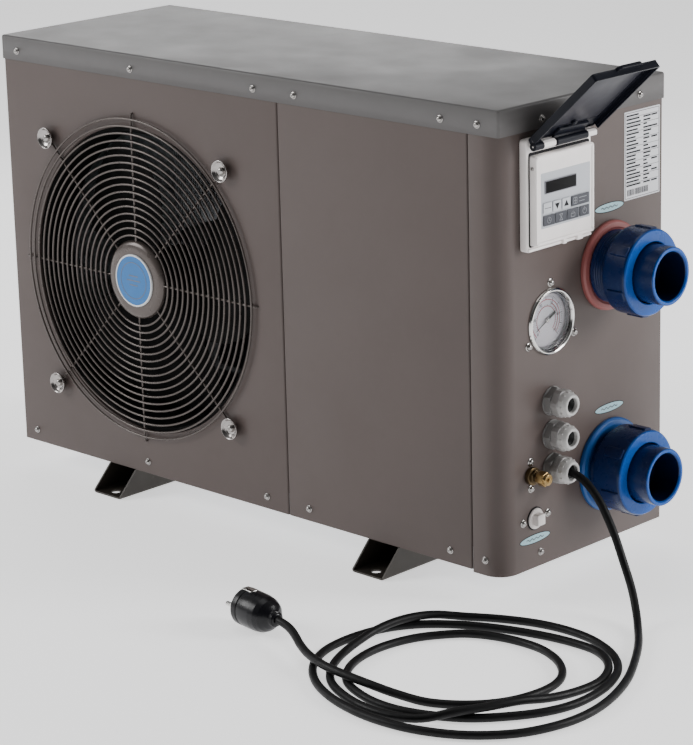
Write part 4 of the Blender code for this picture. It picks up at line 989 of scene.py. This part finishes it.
def make_glands():
    for number, height in enumerate(GLAND_HEIGHTS, start=1):
        origin = P(SIDE, GLAND_Y, height)
        turn = radians(8 + 25 * number)
        base = Shape(origin).turn([(9, 1.4), (15.2, 1.4), (15.2, 0.2), (9, 0.2)], 48, True, 0.3)
        base.slab(hexagon(27, turn, 0.8), 1.2, 9.1, 0.9)
        base.turn([(6.6, 9), (10.4, 9), (10.4, 15), (6.6, 15)], 40, True)
        base.turn([(6.6, -12), (9.8, -12), (9.8, 1), (6.6, 1)], 40, True)
        base.piece(f"gland_base_{number}", GLAND, f"gland_body_{number}", smooth=28)

        body = f"gland_nut_{'abc'[number - 1]}"
        lobes = ((-0.30, 14.0), (-0.12, 14.9), (0.12, 14.9), (0.30, 14.0))
        outline = [polar(r, turn + 0.4 + k * pi / 3 + off) for k in range(6) for off, r in lobes]
        grip = Shape(origin).slab(fillet(outline, 0.7, steps=3), 9.5, 18.6, 0.8)
        grip.piece(f"gland_grip_{number}", GLAND_MID, body=body, smooth=32)
        cap = Shape(origin).turn([
            (13.3, 16), (13.2, 19.5), (12.6, 23), (11.6, 25.8), (10.9, 27.2), (10.0, 28.0), (8.6, 28.0), (7.7, 27.2),
            (7.7, 22), (10.0, 19), (10.0, 16),
        ], 64, True, 0.5)
        rib = fillet([(-1.1, 18.5), (1.1, 18.5), (0.8, 23.5), (-0.8, 23.5)], 0.4)
        for k in range(12):
            cap.at(origin, radial(turn + k * pi / 6)).slab(rib, 11.6, 13.4, 0.4)
        cap.piece(f"gland_cap_{number}", GLAND_PALE, f"gland_nut_{number}", body=body, smooth=32)
        seal = [(9.9, 21.5), (9.9, 17), (4.4, 17), (4.4, 20), (6.6, 22.6), (7.6, 23.4)]
        Shape(origin).turn(seal, 48, True).piece(f"gland_seal_{number}", SEAL_BLACK_AND_SHADE, body=body)
        if number < 3:  # no cable goes through the first two
            # a black disc across the empty bore: painted shade where no cable fills it
            bore_shade = Shape(origin).turn([(0, 15.5), (6.4, 15.5), (6.4, 14.5), (0, 14.5)], 32)
            bore_shade.piece(f"gland_bore_shade_{number}", SEAL_BLACK_AND_SHADE)


def make_valve():
    origin = P(SIDE, -84.0, 127.2)
    stem = Shape(origin).turn([(0, 6), (9.3, 5.2), (9.5, 0.3), (0, 0.3)], 48, edge=0.6)
    stem.slab(hexagon(13.4, 0.5, 0.7), 4.5, 8.4, 0.5).turn([(0, 11), (5.4, 11), (5.4, 4), (0, 4)], 40)
    stem.piece("valve_stem", BRASS_DARK, "service_valve", smooth=32)
    cap = Shape(origin).slab(hexagon(13.6, 0.3, 0.8), 11.6, 21.0, 0.7)
    cap.turn([(0, 24.2), (5.6, 24.2), (6.3, 22.6), (6.3, 20), (0, 20)], 40, edge=0.7)
    cap.turn([(0, 26.4), (2.2, 26.4), (2.2, 23.5), (0, 23.5)], 24, edge=0.5)
    cap.piece("valve_hex_cap", BRASS, "valve_cap", body="cap", smooth=32)
    screws("valve_screws", [(SIDE, -84.2, 141.4, "X"), (SIDE, -83.6, 113.0, "X")], 3.3, 2.4, 4.4)


def make_drain():
    origin = P(SIDE, -77.5, 79.9)
    gasket = Shape(origin).turn([(9.5, 0.9), (12.2, 0.9), (12.2, 0.1), (9.5, 0.1)], 64, True, 0.3)
    gasket.piece("drain_gasket", INK_AND_SHADE_DARK, slot="black_plastic")
    cap = Shape(origin)
    cap.turn([(0, 2.6), (10.2, 2.6), (11, 1.6), (11, 0.5), (8.6, 0.5), (8.6, -15.5), (0, -15.5)], 64, edge=0.5)
    cap.slab(rect((-5.75, -5.75), (5.75, 5.75), 1.2), 1.5, 9.2, 0.8)
    cap.piece("drain_cap", DRAIN, "drain_plug", body="drain")
    screws("drain_screws", [(SIDE, -96.0, 79.0, "X"), (SIDE, -57.9, 80.9, "X")], 3.3, 2.4, 4.4)


# ---- water unions


def make_union(level, front, length, r, collar_look):
    """A wall collar of radius r, the fitting, its nut of a length that ends at front, and the socket."""
    origin = P(SIDE, UNION_Y, UNION_HEIGHTS[level])
    joint, back, end = front - 15.8, front - length, front + 23.8
    tail_body, nut_body = f"{level}_tail", f"{level}_nut"

    def turned(name, look, profile, *nodes, steps=96, edge=0.0, **kind):
        Shape(origin).turn(profile, steps, True, edge).piece(f"{name}_{level}", look, *nodes, **kind)

    turned("wall_ring", collar_look, [
        (r - 6.5, 6.6), (r - 2.0, 6.2), (r - 0.2, 4.4), (r, 2.6), (r, 1.0), (r - 0.6, 0.2), (25.3, 0.2), (25.3, 4.7),
        (36.5, 4.7), (38.6, 5.4),
    ], f"union_collar_{level}", edge=0.8)
    body = [(20.6, -32), (24.9, -32), (24.9, 4.9), (36.5, 4.9), (37.6, 6)]
    thread = 9.0
    while thread < joint - 3:
        body += [(36.9, thread), (37.7, thread + 1.0), (37.7, thread + 1.6), (36.9, thread + 2.6)]
        thread += 3.0
    body += [(37.2, joint - 0.2), (20.6, joint - 0.2)]
    turned("wall_fitting", UNION_DARK, body, f"union_body_{level}")
    turned("socket", UNION_LIT_ENDS, [
        (20.6, joint + 0.4), (37.7, joint + 0.4), (37.7, joint + 7.6), (31.2, joint + 7.6), (30.1, joint + 9.4),
        (30.1, end - 1.2), (29.2, end), (26.6, end), (25.1, end - 1.6), (25.1, joint + 6), (20.6, joint + 4.5),
    ], f"union_tail_{level}", steps=128, edge=0.7, body=tail_body)
    # a dark liner inside the socket's bore, painted shade of the deep bore
    turned("socket_bore_shade", UNION_BORE_SHADE, [
        (20.4, joint + 0.6), (20.4, joint + 6.4), (24.9, joint + 6.6), (24.95, end - 2.2), (25.2, end - 1.9),
        (25.3, joint + 6.1), (20.8, joint + 4.6), (20.8, joint + 0.6),
    ], body=tail_body)
    seal = [(31.5, joint - 0.1), (34.5, joint - 0.1), (34.5, joint + 0.5), (31.5, joint + 0.5)]
    turned("socket_seal", SEAL_BLACK_AND_SHADE, seal, steps=64, edge=0.2, body=tail_body)
    turned("union_ring_nut", UNION_LIT_ENDS, [
        (38.5, back + 0.2), (43.6, back), (44.7, back + 1.1), (45.0, back + 3), (45.0, front - 3.4),
        (44.4, front - 1.4), (43.2, front), (32.6, front), (31.4, front - 1.0), (31.2, joint + 9),
        (31.6, joint + 8.2), (38.5, joint + 8.2),
    ], f"union_nut_{level}", steps=128, edge=0.8, body=nut_body)
    ribs = Shape(origin)
    outline = rect((-5.6, max(back + 5.5, front - 25)), (5.6, front - 3.2), 1.6)
    for rib in range(6):
        ribs.at(origin, radial(radians(60 * rib + 22))).slab(outline, 43.2, 46.3, 0.9)
    ribs.piece(f"union_ribs_{level}", UNION_DARK, body=nut_body, smooth=32)


# ---- labels


def make_labels():
    origin = P(SIDE, 0, 0)
    ovals = ((41.4, 381.5, 23.5, 5.1), (41.4, 169.5, 23.5, 5.1), (-77.8, 58.4, 24.0, 5.0))
    for k, (u, v, a, b) in enumerate(ovals):
        edge = Shape(origin).slab(ellipse((u, v), a, b), 0.02, 0.16)
        edge.piece(f"oval_edge_{k}", INK_AND_SHADE_DARK, slot="white_plastic")
        Shape(origin).slab(ellipse((u, v), a - 1.0, b - 0.9), 0.1, 0.24).piece(f"oval_face_{k}", OVAL)
        wave = [(u - 13 + 26 * s / 24, v + 0.9 * sin(s * pi / 3)) for s in range(25)]
        wave = Shape(origin).stroke(wave, 0.9, 0.2, 0.3)
        wave.piece(f"oval_print_{k}", INK_GREY, slot="white_plastic")
    Shape(origin).slab(rect((65.6, 383.0), (123.2, 474.5), 0.8), 0.02, 0.22).piece("rating_sheet", PAPER)
    border = rect((67.0, 384.4), (121.8, 473.1))
    lines = Shape(origin).band(border, inset_outline(border, 0.5), 0.15, 0.28)
    random.seed(5)

    def bar(start, width, height):
        lines.stroke([(start, height), (start + width, height)], 1.7, 0.15, 0.28)

    for row in range(20):
        v = 470.0 - 3.8 * row
        bar(69.5, random.uniform(12, 22), v)
        if row > 0:
            bar(97, random.uniform(4, 12), v)
            if row % 3 == 1:
                bar(110, 8, v)
        if row % 2 == 0:
            lines.stroke([(67.2, v - 2.1), (121.6, v - 2.1)], 0.35, 0.15, 0.26)
    u = 70.0
    while u < 104:
        width = random.uniform(0.3, 1.1)
        lines.slab(rect((u, 387.2), (u + width, 393.6)), 0.15, 0.28)
        u += width + random.uniform(0.35, 0.9)
    lines.piece("rating_print", INK_AND_SHADE_DARK, slot="white_plastic")


# ---- carried-over nodes

CARRIED = {
    "base_tray": GALVANISED, "rear_guard": CASING, "left_panel": CASING, "partition_plate": GALVANISED,
    "motor_bracket": GALVANISED, "evaporator_coil": FINS, "compressor": ENAMEL, "accumulator": ENAMEL,
    "heat_exchanger": TANK, "reversing_valve": BRASS, "discharge_pipe": COPPER, "suction_pipe": COPPER,
    "electric_box": GALVANISED,
}


def dress_carried():
    for name, look in CARRIED.items():
        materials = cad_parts[name].data.materials
        if not materials:
            materials.append(look)
        for index in range(len(materials)):
            materials[index] = look


# ---- floor and light


def area_light(name, spot, target, size, power):
    data = bpy.data.lights.new(name, "AREA")
    data.shape = "RECTANGLE"
    data.size, data.size_y = size
    data.energy = power
    light = linked(bpy.data.objects.new(name, data))
    light.location = spot
    light.rotation_euler = (Vector(target) - Vector(spot)).to_track_quat("-Z", "Y").to_euler()


def make_stage():
    paper = Look("floor_paper", (0.86, 0.86, 0.87), 0.9, Specular_IOR_Level=0.1)
    paper.set(Emission_Color=(1, 1, 1, 1), Emission_Strength=0.95)
    shape = Shape(P(0, 0, 0))
    bmesh.ops.create_grid(shape.bm, x_segments=2, y_segments=2, size=30)
    floor = linked(shape.made("studio_floor"))
    floor.location = (0, 0, -0.0004)
    floor.data.materials.append(paper.mottle(2, 0.01).mat)

    # a room that is brighter in the direction of `lit`
    lit = Vector((-0.72, 0.6, 0.35)).normalized()
    world = bpy.context.scene.world = bpy.data.worlds.new("studio")
    room = Nodes(world)
    back = room.tree.nodes["Background"]
    back.inputs["Color"].default_value = (1, 1, 1, 1)
    dot = room.node("ShaderNodeVectorMath")
    dot.operation = "DOT_PRODUCT"
    dot.inputs[1].default_value = lit
    room.link(room.node("ShaderNodeTexCoord").outputs["Generated"], dot.inputs[0])
    room.link(room.ramp(dot.outputs["Value"], -0.6, 0.95, 0.06, 0.42), back.inputs["Strength"])

    area_light("soft_right", (2.5, 1.5, 1.2), (0.3, 0, 0.25), (0.9, 1.4), 68)
    area_light("soft_left", (-2.3, -2.0, 1.7), (-0.1, -0.1, 0.25), (1.4, 1.4), 57)
    area_light("soft_rear", (-1.5, 1.2, 1.05), (-0.1, 0, 0.5), (1.4, 0.7), 8)
    area_light("soft_top", (-0.3, 0.2, 2.8), (0, 0, 0.3), (2.0, 1.6), 14)


def main():
    random.seed(1)
    make_lid()
    make_panels()
    make_lip()
    make_rails()
    make_guards()
    make_cabinet_screws()
    make_grille()
    make_rotor()
    make_motor()
    make_controller()
    make_cover()
    make_gauge()
    make_glands()
    make_valve()
    make_drain()
    make_union("upper", 55.8, 29.4, 46.6, RED)
    make_union("lower", 49.8, 35.8, 49.6, COLLAR_BLUE)
    make_labels()
    dress_carried()
    make_stage()


main()
